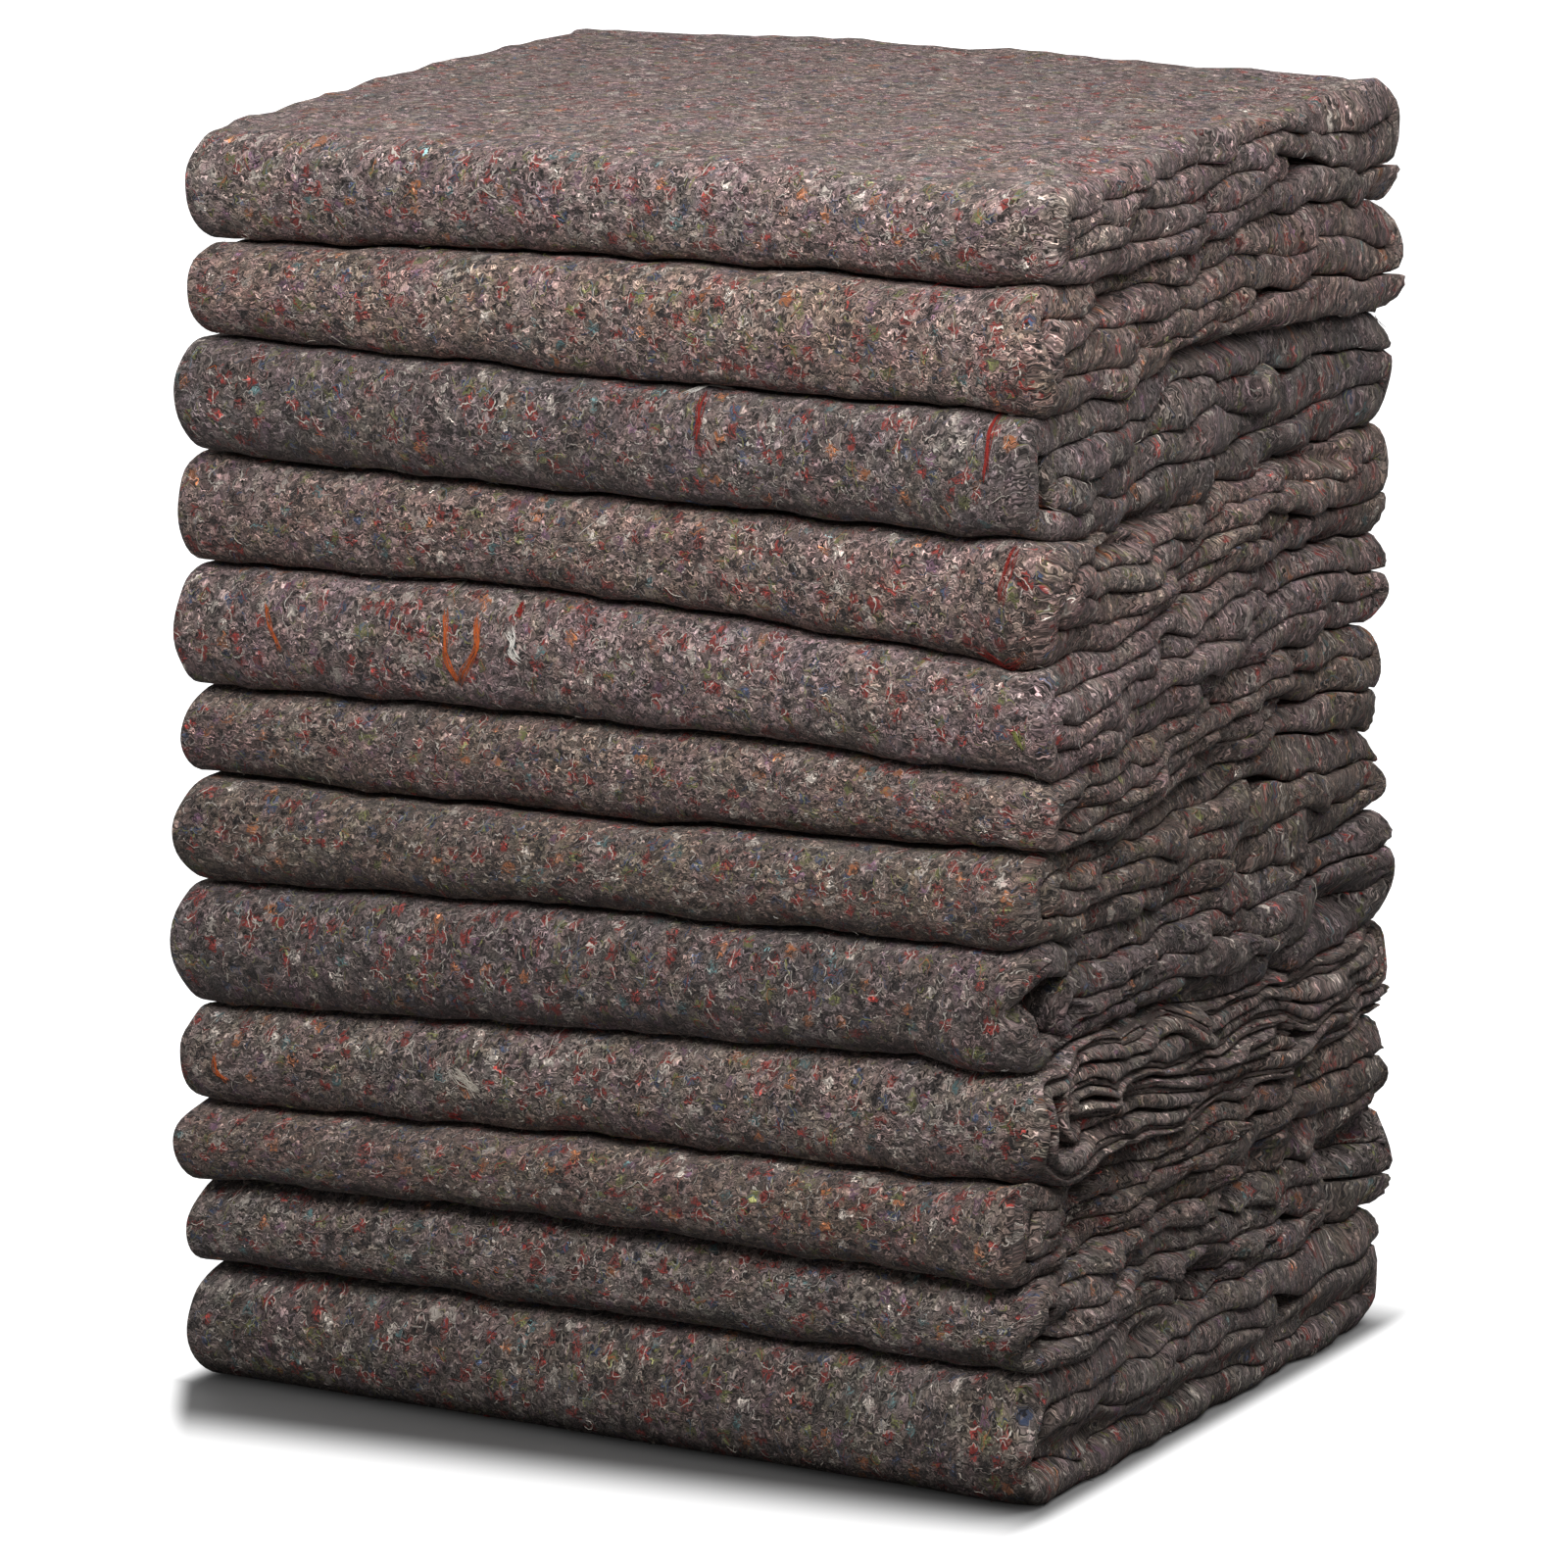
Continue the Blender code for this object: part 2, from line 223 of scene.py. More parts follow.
def strip_line(row):
    """Middle line of the felt across the strip, in the (x, offset) plane: cut edge, small turn at the right
    end, turn at the left, big turn round the small one, and the other cut edge."""
    near, far = 0.5 * FELT_PITCH, 1.5 * FELT_PITCH
    right = 0.5 * FACE_WIDTH - END_FLATNESS * far - 0.5 * FELT
    left = -0.5 * FACE_WIDTH - row.side * MM
    turn = np.linspace(-0.5, 0.5, 2 * TURN_STEPS + 1) * math.pi
    wave = np.stack([np.cos(turn), np.sin(turn)], axis=1)
    blunt = np.sign(wave) * np.abs(wave) ** (2.0 / END_SQUARENESS) * (END_FLATNESS, 1.0)
    small_turn = np.array([right - (1.0 - END_FLATNESS) * far, 0.0]) + near * wave
    left_turn = np.array([left + near + 0.5 * FELT, 2 * near]) + near * wave * (-1, 1)
    end_turn = np.array([right, 0.0]) + far * blunt * (1, -1)
    return fold_line([[(left + EDGE_IN, -near)], small_turn[:1], small_turn, left_turn[:1], left_turn,
                      end_turn[:1], end_turn, [(left, -far)]])


def spread(y, height, spread_from):
    """Round the inner end, press the free run thin and let the other three swell into its room."""
    share = ease(y, spread_from, spread_from + SPREAD_LENGTH)
    gap = RUN_PITCH - RUN_THICKNESS
    swollen = (PLAIN_HEIGHT - 2 * gap) / 3
    top = PLAIN_HEIGHT - RUN_THICKNESS
    packed = np.array([0.0, RUN_THICKNESS, RUN_PITCH, RUN_PITCH + RUN_THICKNESS, top, PLAIN_HEIGHT])
    loose = np.array([0.0, swollen, swollen + gap, 2 * swollen + gap, 2 * swollen + 2 * gap, PLAIN_HEIGHT])
    return height + share * (np.interp(height, packed, loose) - height)


# Where a run is thick its neighbours are thin: waves along Y that squeeze them, of 3 and 4 half waves
# up a blanket
Squeeze = namedtuple("Squeeze", "length size halves turn")
SQUEEZES = (Squeeze(0.083, 0.0016, 3, 2.0), Squeeze(0.057, 0.0010, 4, -3.0))
SQUEEZE_TURN = 4.0        # radians a metre along X


def settle(row, index, x, y, height, spread_from):
    """Height in the stack of a point of the plain blanket, and its share of the blanket's own height: its
    runs are spread, waved and squeezed, then fitted between its seams."""
    share = spread(y, height, spread_from) / PLAIN_HEIGHT
    if row.turned:
        share = 1.0 - share
    calm = np.clip((y + 0.5 * DEPTH) / CALM_DEPTH, 0.0, 1.0)
    wave = np.sin(2 * math.pi * y / RUN_WAVE_LENGTH + row.phase + RUN_WAVE_TURN * x)
    twist = np.sin(2 * math.pi * y / RUN_TWIST_LENGTH - row.phase + RUN_TWIST_TURN * x)
    lift = wave * np.sin(math.pi * share) + RUN_TWIST_SHARE * twist * np.sin(2 * math.pi * share)
    share = share + calm * row.wave * MM * lift / PLAIN_HEIGHT
    for squeeze in SQUEEZES:
        beat = np.sin(2 * math.pi * y / squeeze.length + squeeze.turn * row.phase + SQUEEZE_TURN * x)
        share = share + calm * squeeze.size * beat * np.sin(squeeze.halves * math.pi * share) / PLAIN_HEIGHT
    floor = seam_height(index - 1, x, y) + (SEAM_GAP if index else 0.0)
    ceiling = seam_height(index, x, y)
    return floor + share * (ceiling - floor), share


# Unevenness that the whole stack shares: waves through space, so that neighbours move together.
# Those with reach 1 grow towards the layered right end, those with 2 only low down there, where it is
# crumpled
Wave = namedtuple("Wave", "length size count reach")
SOFT_WAVES = (Wave(0.120, 0.0005, 7, 0), Wave(0.048, 0.0004, 9, 0), Wave(0.022, 0.00024, 9, 0),
              Wave(0.075, 0.0014, 7, 1), Wave(0.034, 0.0008, 8, 1),
              Wave(0.046, 0.0010, 8, 2))
FLOOR_CALM = 0.018        # the waves reach full height this far over the floor
END_WAVE_REACH = 0.10
CRUMPLED_BELOW = (0.19, 0.27)


def soft_waves(points):
    """Move points by a sum of plane waves of several lengths, each in its own random direction."""
    dice = np.random.default_rng(11)
    moved = np.zeros_like(points)
    at_end = ease(points[..., 0], 0.5 * FACE_WIDTH - END_WAVE_REACH, 0.5 * FACE_WIDTH)[..., None]
    shares = (1.0, at_end, at_end * (1.0 - ease(points[..., 2], *CRUMPLED_BELOW))[..., None])
    for wave in SOFT_WAVES:
        for _ in range(wave.count):
            heading = dice.normal(size=3)
            heading *= 2 * math.pi / wave.length / np.linalg.norm(heading)
            push = dice.normal(size=3) * (0.8, 0.8, 1.0)
            push *= wave.size / np.linalg.norm(push)
            beat = np.sin(points @ heading + dice.uniform(0, 2 * math.pi))[..., None]
            moved += push * beat * shares[wave.reach]
    moved[..., 2] *= ease(points[..., 2], 0.0, FLOOR_CALM)
    moved[..., :2] *= ease(points[..., 2], -FLOOR_CALM, 2 * FLOOR_CALM)[..., None]
    return points + moved


# Hollows pressed into the stack, in mm: a line on the front or on the right end, from one place to
# another, along the face from the middle of the stack and up from the floor, with its width and depth
Hollow = namedtuple("Hollow", "face along up to_along to_up width depth")
HOLLOWS = (
    Hollow("end", -130, 557, -98, 559, 4.0, 12),
    Hollow("end", -40, 523, 60, 520, 4.5, 10),
    Hollow("end", -78, 449, -52, 450, 4.5, 13),
    Hollow("end", -124, 443, -84, 443, 3.5, 10),
    Hollow("end", 75, 459, 142, 446, 3.5, 8),
    Hollow("end", 110, 409, 142, 407, 4.0, 9),
    Hollow("end", 58, 337, 100, 333, 6.0, 14),
    Hollow("end", -6, 328, 24, 320, 7.0, 9),
    Hollow("end", -165, 322, -138, 329, 6.0, 9),
    Hollow("end", -187, 238, -176, 243, 5.0, 9),
    Hollow("end", -150, 232, -134, 229, 5.0, 14),
    Hollow("end", -100, 214, 0, 209, 5.0, 11),
    Hollow("end", -122, 172, -114, 172, 5.0, 12),
    Hollow("end", 26, 160, 46, 160, 8.0, 9),
    Hollow("end", 128, 228, 156, 225, 9.0, 14),
    Hollow("end", 94, 118, 108, 120, 8.0, 10),
    Hollow("end", 20, 100, 40, 102, 4.5, 13),
    Hollow("end", 140, 92, 172, 100, 8.0, 14),
    Hollow("end", -20, 66, 6, 70, 9.0, 14),
    Hollow("end", -178, 78, -154, 84, 6.0, 10),
    Hollow("end", -76, 55, -48, 56, 6.0, 12),
    Hollow("end", -172, 28, -110, 24, 7.0, 8),
    Hollow("end", -186, 20, 176, 21, 6.0, 6),
    Hollow("end", -148, 178, -134, 174, 6.0, 10),
    Hollow("end", -4, 78, 16, 64, 5.0, 11),
    Hollow("end", 142, 90, 152, 56, 7.0, 11),
    Hollow("end", -126, 128, -112, 120, 8.0, 7),
    Hollow("end", 92, 150, 108, 141, 7.0, 9),
    Hollow("end", 60, 116, 74, 110, 6.0, 9),
    Hollow("front", 20, 50, 226, 47, 2.2, 3.0),
    Hollow("front", -226, 55, -120, 58, 4.5, 6.5),
    Hollow("front", 186, 570, 230, 573, 4.5, 7.0),
    Hollow("front", 214, 12, 216, 36, 1.6, 3.5),
    Hollow("front", -219, 530, -213, 556, 1.6, 4.0),
)
END_DEPTH_REACH = 0.075   # how far behind a face a hollow fades out
FRONT_DEPTH_REACH = 0.040


def press_hollows(points):
    """Press each hollow in: its depth, times a bell over the distance from its line, fading out behind the
    face."""
    x, y, z = (points[..., k].copy() for k in range(3))
    behind_end = ease(x, 0.5 * FACE_WIDTH - END_DEPTH_REACH, 0.5 * FACE_WIDTH)
    behind_front = 1.0 - ease(y, -0.5 * DEPTH, -0.5 * DEPTH + FRONT_DEPTH_REACH)
    pressed = points.copy()
    for hollow in HOLLOWS:
        start = np.array([hollow.along, hollow.up]) * MM
        way = np.array([hollow.to_along, hollow.to_up]) * MM - start
        place = np.stack([y if hollow.face == "end" else x, z], axis=-1) - start
        along = np.clip(place @ way / (way @ way), 0.0, 1.0)
        distance = np.linalg.norm(place - along[..., None] * way, axis=-1)
        depth = hollow.depth * MM * np.exp(-(distance / (hollow.width * MM)) ** 2)
        if hollow.face == "end":
            pressed[..., 0] -= depth * behind_end
        else:
            pressed[..., 1] += depth * behind_front
    return pressed


END_SWELL = 0.122         # the strip is so much thicker at its loose right end
CORNER_ROUND = 0.0115     # how far the front fold's loose end bends back
CORNER_REACH = 0.022
CORNER_PAST = 0.4         # the bend ends this share of its reach past the end
CORNER_POWER = 1.5
CORNER_IN = 0.0045        # and how far it draws in
CORNER_BEFORE, CORNER_DEPTH = 0.006, 0.040    # it fades out between these, before and behind the front
CREEP_REACH = 0.060       # how far in from the right end the small fold creeps towards the big one
SWELL_REACH = (0.15, 0.225)
END_REACH = 0.070         # how far in from an end its unevenness fades out
BACK_WAVE, BACK_LENGTHS = 0.0015, (0.21, 0.12, 0.07)
LEFT_WAVE, LEFT_LENGTHS = 0.0030, (0.13, 0.071, 0.043)
FLOOR_EVEN = 0.35         # the bottom blanket's right end is so much more even
END_LOOSE = 0.0062        # how unevenly the runs end at the right, on top of their waves
LOOSE_LENGTHS, LOOSE_STEP = (0.170, 0.091, 0.052), 2.9      # the step is from one run to the next
RAGGED_LENGTHS, RAGGED_STEP = (0.061, 0.037, 0.023), 1.3
FELT_STEP, LEFT_FELT_STEP = 21, 11                          # times the way from one felt to the next
FAR_ROUND = 0.0035        # how far a blanket's edges are drawn in at the far corner
FAR_REACH = 0.032
BULGE = 0.004             # how far the middle of a blanket stands out past its seams
BULGE_LEVEL = 0.6         # share of the bulge at which the end stays in place


def wander(place, phase, lengths):
    """Uneven wave from -1 to 1: the mean of sines of the given lengths along a place, out of step."""
    waves = [np.sin(2 * math.pi * place / size + phase * (2.3 + 1.7 * k)) for k, size in enumerate(lengths)]
    return sum(waves) / len(waves)


def end_shift(row, finish, y, run_place, offset):
    """How far the right end stands out there: from corner to corner, drawn in by each run's own waves,
    and ragged from felt to felt."""
    back = np.clip(y / DEPTH + 0.5, 0.0, 1.0)
    corner_to_corner = (row.end_near + (row.end_far - row.end_near) * back) * MM
    beat = 2 * math.pi * y / END_WAVE_LENGTH + row.phase + END_WAVE_STEP * run_place
    drawn = END_WAVE * (0.5 - 0.5 * np.cos(beat))
    loose = END_LOOSE * wander(y, row.phase + LOOSE_STEP * run_place, LOOSE_LENGTHS)
    ragged = finish.ragged * MM * wander(y + FELT_STEP * offset, row.phase + RAGGED_STEP * run_place,
                                         RAGGED_LENGTHS)
    calm = FLOOR_EVEN if row is BLANKETS[0] else 1.0
    return corner_to_corner + calm * ((loose - drawn) * np.sin(math.pi * back) ** 0.5 + ragged)


# How much of the room in front of the small fold it fills at the right end, from the floor up
CREEP_SHARE = (0.5, 0.2, 0.9, 0.2, 0.3, 0.8, 0.8, 0.9, 0.75, 0.3, 0.9, 0.8)


class Folded:
    """The folds of one blanket, which turn lengths on its flat sheet into places in the stack."""

    def __init__(self, index):
        self.index, self.row, self.finish = index, BLANKETS[index], FINISHES[index]
        self.runs, self.spread_from = run_line(self.row)
        self.strip = strip_line(self.row)

    def place(self, u, v, lift):
        """Points at lengths u and v of the flat sheet, lifted off its middle: the felt's line across the
        strip gives x and an offset, which stands square on the strip's own line at v."""
        strip, runs = self.strip, self.runs
        x, offset = (np.interp(u, strip.length, strip.points[:, k]) for k in (0, 1))
        tilt_x, tilt_offset = (np.interp(u, strip.length, strip.aside[:, k]) for k in (0, 1))
        x = x + lift * tilt_x
        offset = (offset + lift * tilt_offset) * (1.0 + END_SWELL * ease(x, *SWELL_REACH))
        y, height = (np.interp(v, runs.length, runs.points[:, k]) for k in (0, 1))
        aside_y, aside_height = (np.interp(v, runs.length, runs.aside[:, k]) for k in (0, 1))
        y = y + offset * aside_y
        height = height + offset * aside_height
        left, right = -0.5 * FACE_WIDTH - self.row.side * MM, 0.5 * FACE_WIDTH
        if self.finish.edges_right:
            x = left + right - x
        run_place = 2.0 * v / CUT_LENGTH * RUNS
        y = y - self.creep(v) * ease(x, right - CREEP_REACH, right)
        x = x + end_shift(self.row, self.finish, y, run_place, offset) * ease(x, right - END_REACH, right)
        x = x + (LEFT_WAVE * wander(y + LEFT_FELT_STEP * offset, run_place, LEFT_LENGTHS)
                 * ease(-x, -left - END_REACH, -left))
        y = y + (BACK_WAVE * wander(x, run_place + self.row.phase, BACK_LENGTHS)
                 * ease(y, 0.5 * DEPTH - END_REACH, 0.5 * DEPTH))
        bent = ease(x, right - CORNER_REACH, right + CORNER_PAST * CORNER_REACH) ** CORNER_POWER
        x = x - (CORNER_IN * ease(-y, 0.5 * DEPTH - CORNER_REACH, 0.5 * DEPTH)
                 * ease(x, right - END_REACH, right))
        front = -0.5 * DEPTH
        y = y + CORNER_ROUND * bent * (1.0 - ease(y, front - CORNER_BEFORE, front + CORNER_DEPTH))
        z, share = settle(self.row, self.index, x, y, height, self.spread_from)
        bulge = BULGE * (np.sin(math.pi * np.clip(share, 0.0, 1.0)) - BULGE_LEVEL)
        x = x + bulge * (ease(x, right - END_REACH, right) - ease(-x, -left - END_REACH, -left))
        rounded = FAR_ROUND * np.abs(2 * share - 1) ** 4 * ease(y, 0.5 * DEPTH - FAR_REACH, 0.5 * DEPTH)
        x = x - rounded * ease(x, right - END_REACH, right)
        y = y + bulge * ease(y, 0.5 * DEPTH - END_REACH, 0.5 * DEPTH)
        points = np.stack(np.broadcast_arrays(x - OFF_X, y - OFF_Y, z), axis=-1)
        points = press_hollows(soft_waves(points))
        points[..., 2] = np.maximum(points[..., 2], 0.0)
        return points

    def creep(self, v):
        """How far the small fold creeps forward at its loose end to fill the big one, at lengths v."""
        room = NOSE_DEPTH + self.row.core * MM - RUN_THICKNESS
        back, small = self.runs.marks[4], self.runs.marks[5]
        return room * CREEP_SHARE[self.index] * ease(v, back, small)

    def across(self):
        """Lengths u of the grid: few on the hidden felts, many on the one that shows in front."""
        marks = self.strip.marks
        parts = [np.linspace(start, end, count, endpoint=False)
                 for start, end, count in zip(marks[:-1], marks[1:], ACROSS_STEPS.values())]
        return with_edges(np.concatenate(parts), marks[-1])

    def along(self):
        """Lengths v of the grid: even steps on the runs, finer ones round the folds between them."""
        marks = self.runs.marks
        parts = []
        for part, (start, end) in enumerate(zip(marks[:-1], marks[1:])):
            count = math.ceil((end - start) / ALONG_STEP)
            if part % 2:
                count = NOSE_STEPS if part == 1 else TURN_STEPS
            parts.append(np.linspace(start, end, count, endpoint=False))
        return with_edges(np.concatenate(parts), marks[-1])


def with_edges(lengths, end):
    """Add the last length and the steps that round the two cut edges."""
    steps = [inward for inward, _ in EDGE_STEPS]
    inner = lengths[(lengths > 2 * steps[-1]) & (lengths < end - 2 * steps[-1])]
    return np.concatenate([steps, inner, end - np.array(steps[::-1])])


def edge_thickness(lengths):
    """Share of the felt's thickness at each length: thin at both cut edges, so that they are round."""
    steps, shares = zip(*EDGE_STEPS)
    inward = np.minimum(lengths - lengths[0], lengths[-1] - lengths)
    return np.interp(inward, steps, shares)


def sheet_mesh(name, folded):
    """Closed felt: its grid lifted half a thickness to each side, with a strip of faces round the rim."""
    u, v = folded.across(), folded.along()
    half = 0.5 * FELT * np.minimum(edge_thickness(v)[:, None], edge_thickness(u)[None, :])
    grid_u, grid_v = np.broadcast_arrays(u[None, :], v[:, None])
    points = np.concatenate([folded.place(grid_u, grid_v, half).reshape(-1, 3),
                             folded.place(grid_u, grid_v, -half).reshape(-1, 3)])
    rows, columns = grid_u.shape
    number = np.arange(rows * columns).reshape(rows, columns)
    other = number + rows * columns
    face = np.stack([number[:-1, :-1], number[:-1, 1:], number[1:, 1:], number[1:, :-1]], axis=-1)
    face = face.reshape(-1, 4)
    under = (face + rows * columns)[:, ::-1]
    rims = []
    for edge, under_edge in ((number[0], other[0]), (number[-1][::-1], other[-1][::-1]),
                             (number[::-1, 0], other[::-1, 0]), (number[:, -1], other[:, -1])):
        rims.append(np.stack([edge[1:], edge[:-1], under_edge[:-1], under_edge[1:]], axis=-1))
    faces = np.concatenate([face, under] + rims)
    if signed_volume(points, faces) < 0:
        faces = faces[:, ::-1]
    flat = np.stack([grid_u.ravel(), grid_v.ravel()], axis=1)
    flat = np.concatenate([flat, flat + (CUT_WIDTH, 0.0)])
    return mesh_of(name, points, faces, flat)


def signed_volume(points, faces):
    """Volume inside closed quads: a sixth of each triangle's box product, positive if they face outwards."""
    a, b, c, d = (points[faces[:, k]] for k in range(4))
    return (np.einsum("ij,ij->i", a, np.cross(b, c)) + np.einsum("ij,ij->i", a, np.cross(c, d))).sum() / 6


def mesh_of(name, points, faces, flat):
    """Mesh of equal faces, smooth, with the places on the flat sheet as its UV map in metres."""
    mesh = bpy.data.meshes.new(name)
    mesh.vertices.add(len(points))
    mesh.vertices.foreach_set("co", points.astype(np.float32).ravel())
    sides = faces.shape[1]
    mesh.loops.add(faces.size)
    mesh.loops.foreach_set("vertex_index", faces.astype(np.int32).ravel())
    mesh.polygons.add(len(faces))
    mesh.polygons.foreach_set("loop_start", np.arange(0, faces.size, sides, dtype=np.int32))
    mesh.update(calc_edges=True)
    layer = mesh.uv_layers.new(name="flat_metres")
    layer.uv.foreach_set("vector", flat[faces.ravel()].astype(np.float32).ravel())
    mesh.shade_smooth()
    mesh.validate()
    return mesh


# Materials

def linear(colour):
    """A sRGB hex colour as linear light."""
    parts = [int(colour[k:k + 2], 16) / 255 for k in (1, 3, 5)]
    return tuple(part / 12.92 if part <= 0.04045 else ((part + 0.055) / 1.055) ** 2.4 for part in parts)


def add(tree, kind, inputs, **settings):
    """Add a node: its settings as attributes, each input set to a value or linked to an output socket."""
    node = tree.nodes.new(kind)
    for name, value in settings.items():
        setattr(node, name, value)
    for socket, value in inputs.items():
        if isinstance(value, bpy.types.NodeSocket):
            tree.links.new(value, node.inputs[socket])
        else:
            node.inputs[socket].default_value = value
    return node


def fill_stops(ramp, colours):
    """Give a ramp one flat stop a colour: (share of the chance, hex, strength) in order, and nothing after
    them."""
    ramp.interpolation = "CONSTANT"
    place = 0.0
    for number, (share, colour, strength) in enumerate((*colours, (0.0, "#000000", 0.0))):
        stop = ramp.elements[number] if number < 2 else ramp.elements.new(place)
        stop.position = min(place, 1.0)
        stop.color = (*linear(colour), strength)
        place += share


def strewn(tree, chance, shape, colours, under):
    """Strew shapes over a colour: each takes its colour and strength by its own chance. Gives the new colour,
    where the shapes lie and their own colour."""
    chosen = add(tree, "ShaderNodeValToRGB", {"Fac": chance})
    fill_stops(chosen.color_ramp, colours)
    shown = add(tree, "ShaderNodeMath", {0: shape, 1: chosen.outputs["Alpha"]}, operation="MULTIPLY")
    over = add(tree, "ShaderNodeMix", {0: shown.outputs["Value"], 6: under, 7: chosen.outputs["Color"]},
               data_type="RGBA")
    return over.outputs[2], shown.outputs["Value"], chosen.outputs["Color"]


def fibres(tree, flat, turns, length, width, dark, light, under, tuft, tuft_colour):
    """Fibres that lie side by side over a colour: a random net drawn out along them, one fibre in each cell,
    each darker or lighter than the colour by its own chance, by dark to light times the colour, or dyed like
    the tuft where its chance is less than the tuft there. Gives the new colour and where they lie. Sizes in
    metres."""
    drawn = add(tree, "ShaderNodeMapping", {"Vector": flat, "Rotation": (0, 0, 2 * math.pi * turns),
                                            "Scale": (1.0 / length, 1.0 / width, 1.0)})
    net = add(tree, "ShaderNodeTexVoronoi", {"Vector": drawn.outputs["Vector"], "Scale": 1.0},
              voronoi_dimensions="2D", feature="F1")
    shape = add(tree, "ShaderNodeMapRange", {"Value": net.outputs["Distance"], "From Min": FIBRE_CORE,
                                             "From Max": FIBRE_RIM, "To Min": 1.0, "To Max": 0.0})
    chance = add(tree, "ShaderNodeSeparateColor", {"Color": net.outputs["Color"]})
    change = add(tree, "ShaderNodeMapRange", {"Value": chance.outputs["Red"],
                                              "To Min": dark, "To Max": light})
    gain = add(tree, "ShaderNodeMath", {0: change.outputs["Result"], 1: shape.outputs["Result"], 2: 1.0},
               operation="MULTIPLY_ADD")
    dyed = add(tree, "ShaderNodeMath", {0: chance.outputs["Green"], 1: tuft}, operation="LESS_THAN")
    covered = add(tree, "ShaderNodeMath", {0: dyed.outputs["Value"], 1: shape.outputs["Result"]},
                  operation="MULTIPLY")
    own = add(tree, "ShaderNodeMix", {0: covered.outputs["Value"], 6: under, 7: tuft_colour},
              data_type="RGBA")
    over = add(tree, "ShaderNodeVectorMath", {0: own.outputs[2], "Scale": gain.outputs["Value"]},
               operation="SCALE")
    return over.outputs["Vector"], shape.outputs["Result"]


def threads(tree, flat, cell, width, length, curl):
    """Curly threads, one in each cell of a random net: part of a ring through the cell's point, turned and
    bent by chance. Gives where they lie and a chance for their colour. All sizes in metres."""
    net = add(tree, "ShaderNodeTexVoronoi", {"Vector": flat, "Scale": 1.0 / cell, "Randomness": 1.0},
              voronoi_dimensions="2D", feature="F1")
    chance = add(tree, "ShaderNodeSeparateColor", {"Color": net.outputs["Color"]})
    away = add(tree, "ShaderNodeVectorMath", {0: flat, 1: net.outputs["Position"]}, operation="SUBTRACT")
    turn = add(tree, "ShaderNodeMath", {0: chance.outputs["Red"], 1: 2 * math.pi}, operation="MULTIPLY")
    turned = add(tree, "ShaderNodeVectorRotate",
                 {"Vector": away.outputs["Vector"], "Center": (0, 0, 0), "Angle": turn.outputs["Value"]},
                 rotation_type="Z_AXIS")
    radius = add(tree, "ShaderNodeMapRange",
                 {"Value": chance.outputs["Blue"], "To Min": curl[0], "To Max": curl[1]})
    centre = add(tree, "ShaderNodeCombineXYZ", {"X": radius.outputs["Result"]})
    ring = add(tree, "ShaderNodeVectorMath", {0: turned.outputs["Vector"], 1: centre.outputs["Vector"]},
               operation="DISTANCE")
    off_ring = add(tree, "ShaderNodeMath", {0: ring.outputs["Value"], 1: radius.outputs["Result"]},
                   operation="SUBTRACT")
    distance = add(tree, "ShaderNodeMath", {0: off_ring.outputs["Value"]}, operation="ABSOLUTE")
    line = add(tree, "ShaderNodeMapRange",
               {"Value": distance.outputs["Value"], "From Min": THREAD_CORE * width,
                "From Max": THREAD_RIM * width, "To Min": 1.0, "To Max": 0.0},
               interpolation_type="SMOOTHSTEP")
    far = add(tree, "ShaderNodeVectorMath", {0: away.outputs["Vector"]}, operation="LENGTH")
    within = add(tree, "ShaderNodeMapRange",
                 {"Value": far.outputs["Value"], "From Min": THREAD_FULL * length,
                  "From Max": THREAD_END * length, "To Min": 1.0, "To Max": 0.0})
    shown = add(tree, "ShaderNodeMath", {0: line.outputs["Result"], 1: within.outputs["Result"]},
                operation="MULTIPLY")
    return chance.outputs["Green"], shown.outputs["Value"]


def spots(tree, flat, cell, core, rim):
    """Round spots, one in each cell of a random net, full to the core and gone at the rim, as shares of the
    cell. Gives a chance for their colour and where they lie."""
    net = add(tree, "ShaderNodeTexVoronoi", {"Vector": flat, "Scale": 1.0 / cell, "Randomness": 1.0},
              voronoi_dimensions="2D", feature="F1")
    shape = add(tree, "ShaderNodeMapRange", {"Value": net.outputs["Distance"], "From Min": core,
                                             "From Max": rim, "To Min": 1.0, "To Max": 0.0},
                interpolation_type="SMOOTHSTEP")
    return net.outputs["Color"], shape.outputs["Result"]


# How a fibre, a thread, a tuft and a pill fade out: full up to the core and gone at the rim, as shares of
# the cell, or of the thread's width. Along it a thread is full, and ends, at these shares of its length
FIBRE_CORE, FIBRE_RIM = 0.35, 0.70
THREAD_CORE, THREAD_RIM = 0.3, 0.6
THREAD_FULL, THREAD_END = 0.4, 0.5
TUFT_CORE, TUFT_RIM = 0.05, 0.52
PILL_CORE, PILL_RIM = 0.05, 0.13

# Fibres, threads, tufts and pills by colour: share of their cells, sRGB, strength
FINE_THREADS = ((0.20, "#cfc6bc", 0.80), (0.22, "#0c090a", 0.85), (0.07, "#82302b", 0.80),
                (0.06, "#8e8e50", 0.75), (0.05, "#3f5272", 0.70), (0.04, "#a08c93", 0.70))
BOLD_THREADS = ((0.10, "#dcd4c8", 0.85), (0.12, "#0b0909", 0.90), (0.05, "#8f8e56", 0.75),
                (0.05, "#8f332c", 0.85), (0.02, "#a86a41", 0.80), (0.02, "#5f7888", 0.70))
TUFTS = ((0.21, "#7a2b26", 0.43), (0.08, "#3a445a", 0.30), (0.10, "#62633c", 0.34),
         (0.09, "#1b1718", 0.38), (0.05, "#64495a", 0.30), (0.03, "#4a6465", 0.26), (0.03, "#955c3a", 0.36),
         (0.08, "#a89e95", 0.38))
PILLS = ((0.24, "#070606", 0.95), (0.05, "#cfc7bb", 0.80), (0.05, "#9a2a26", 0.80))
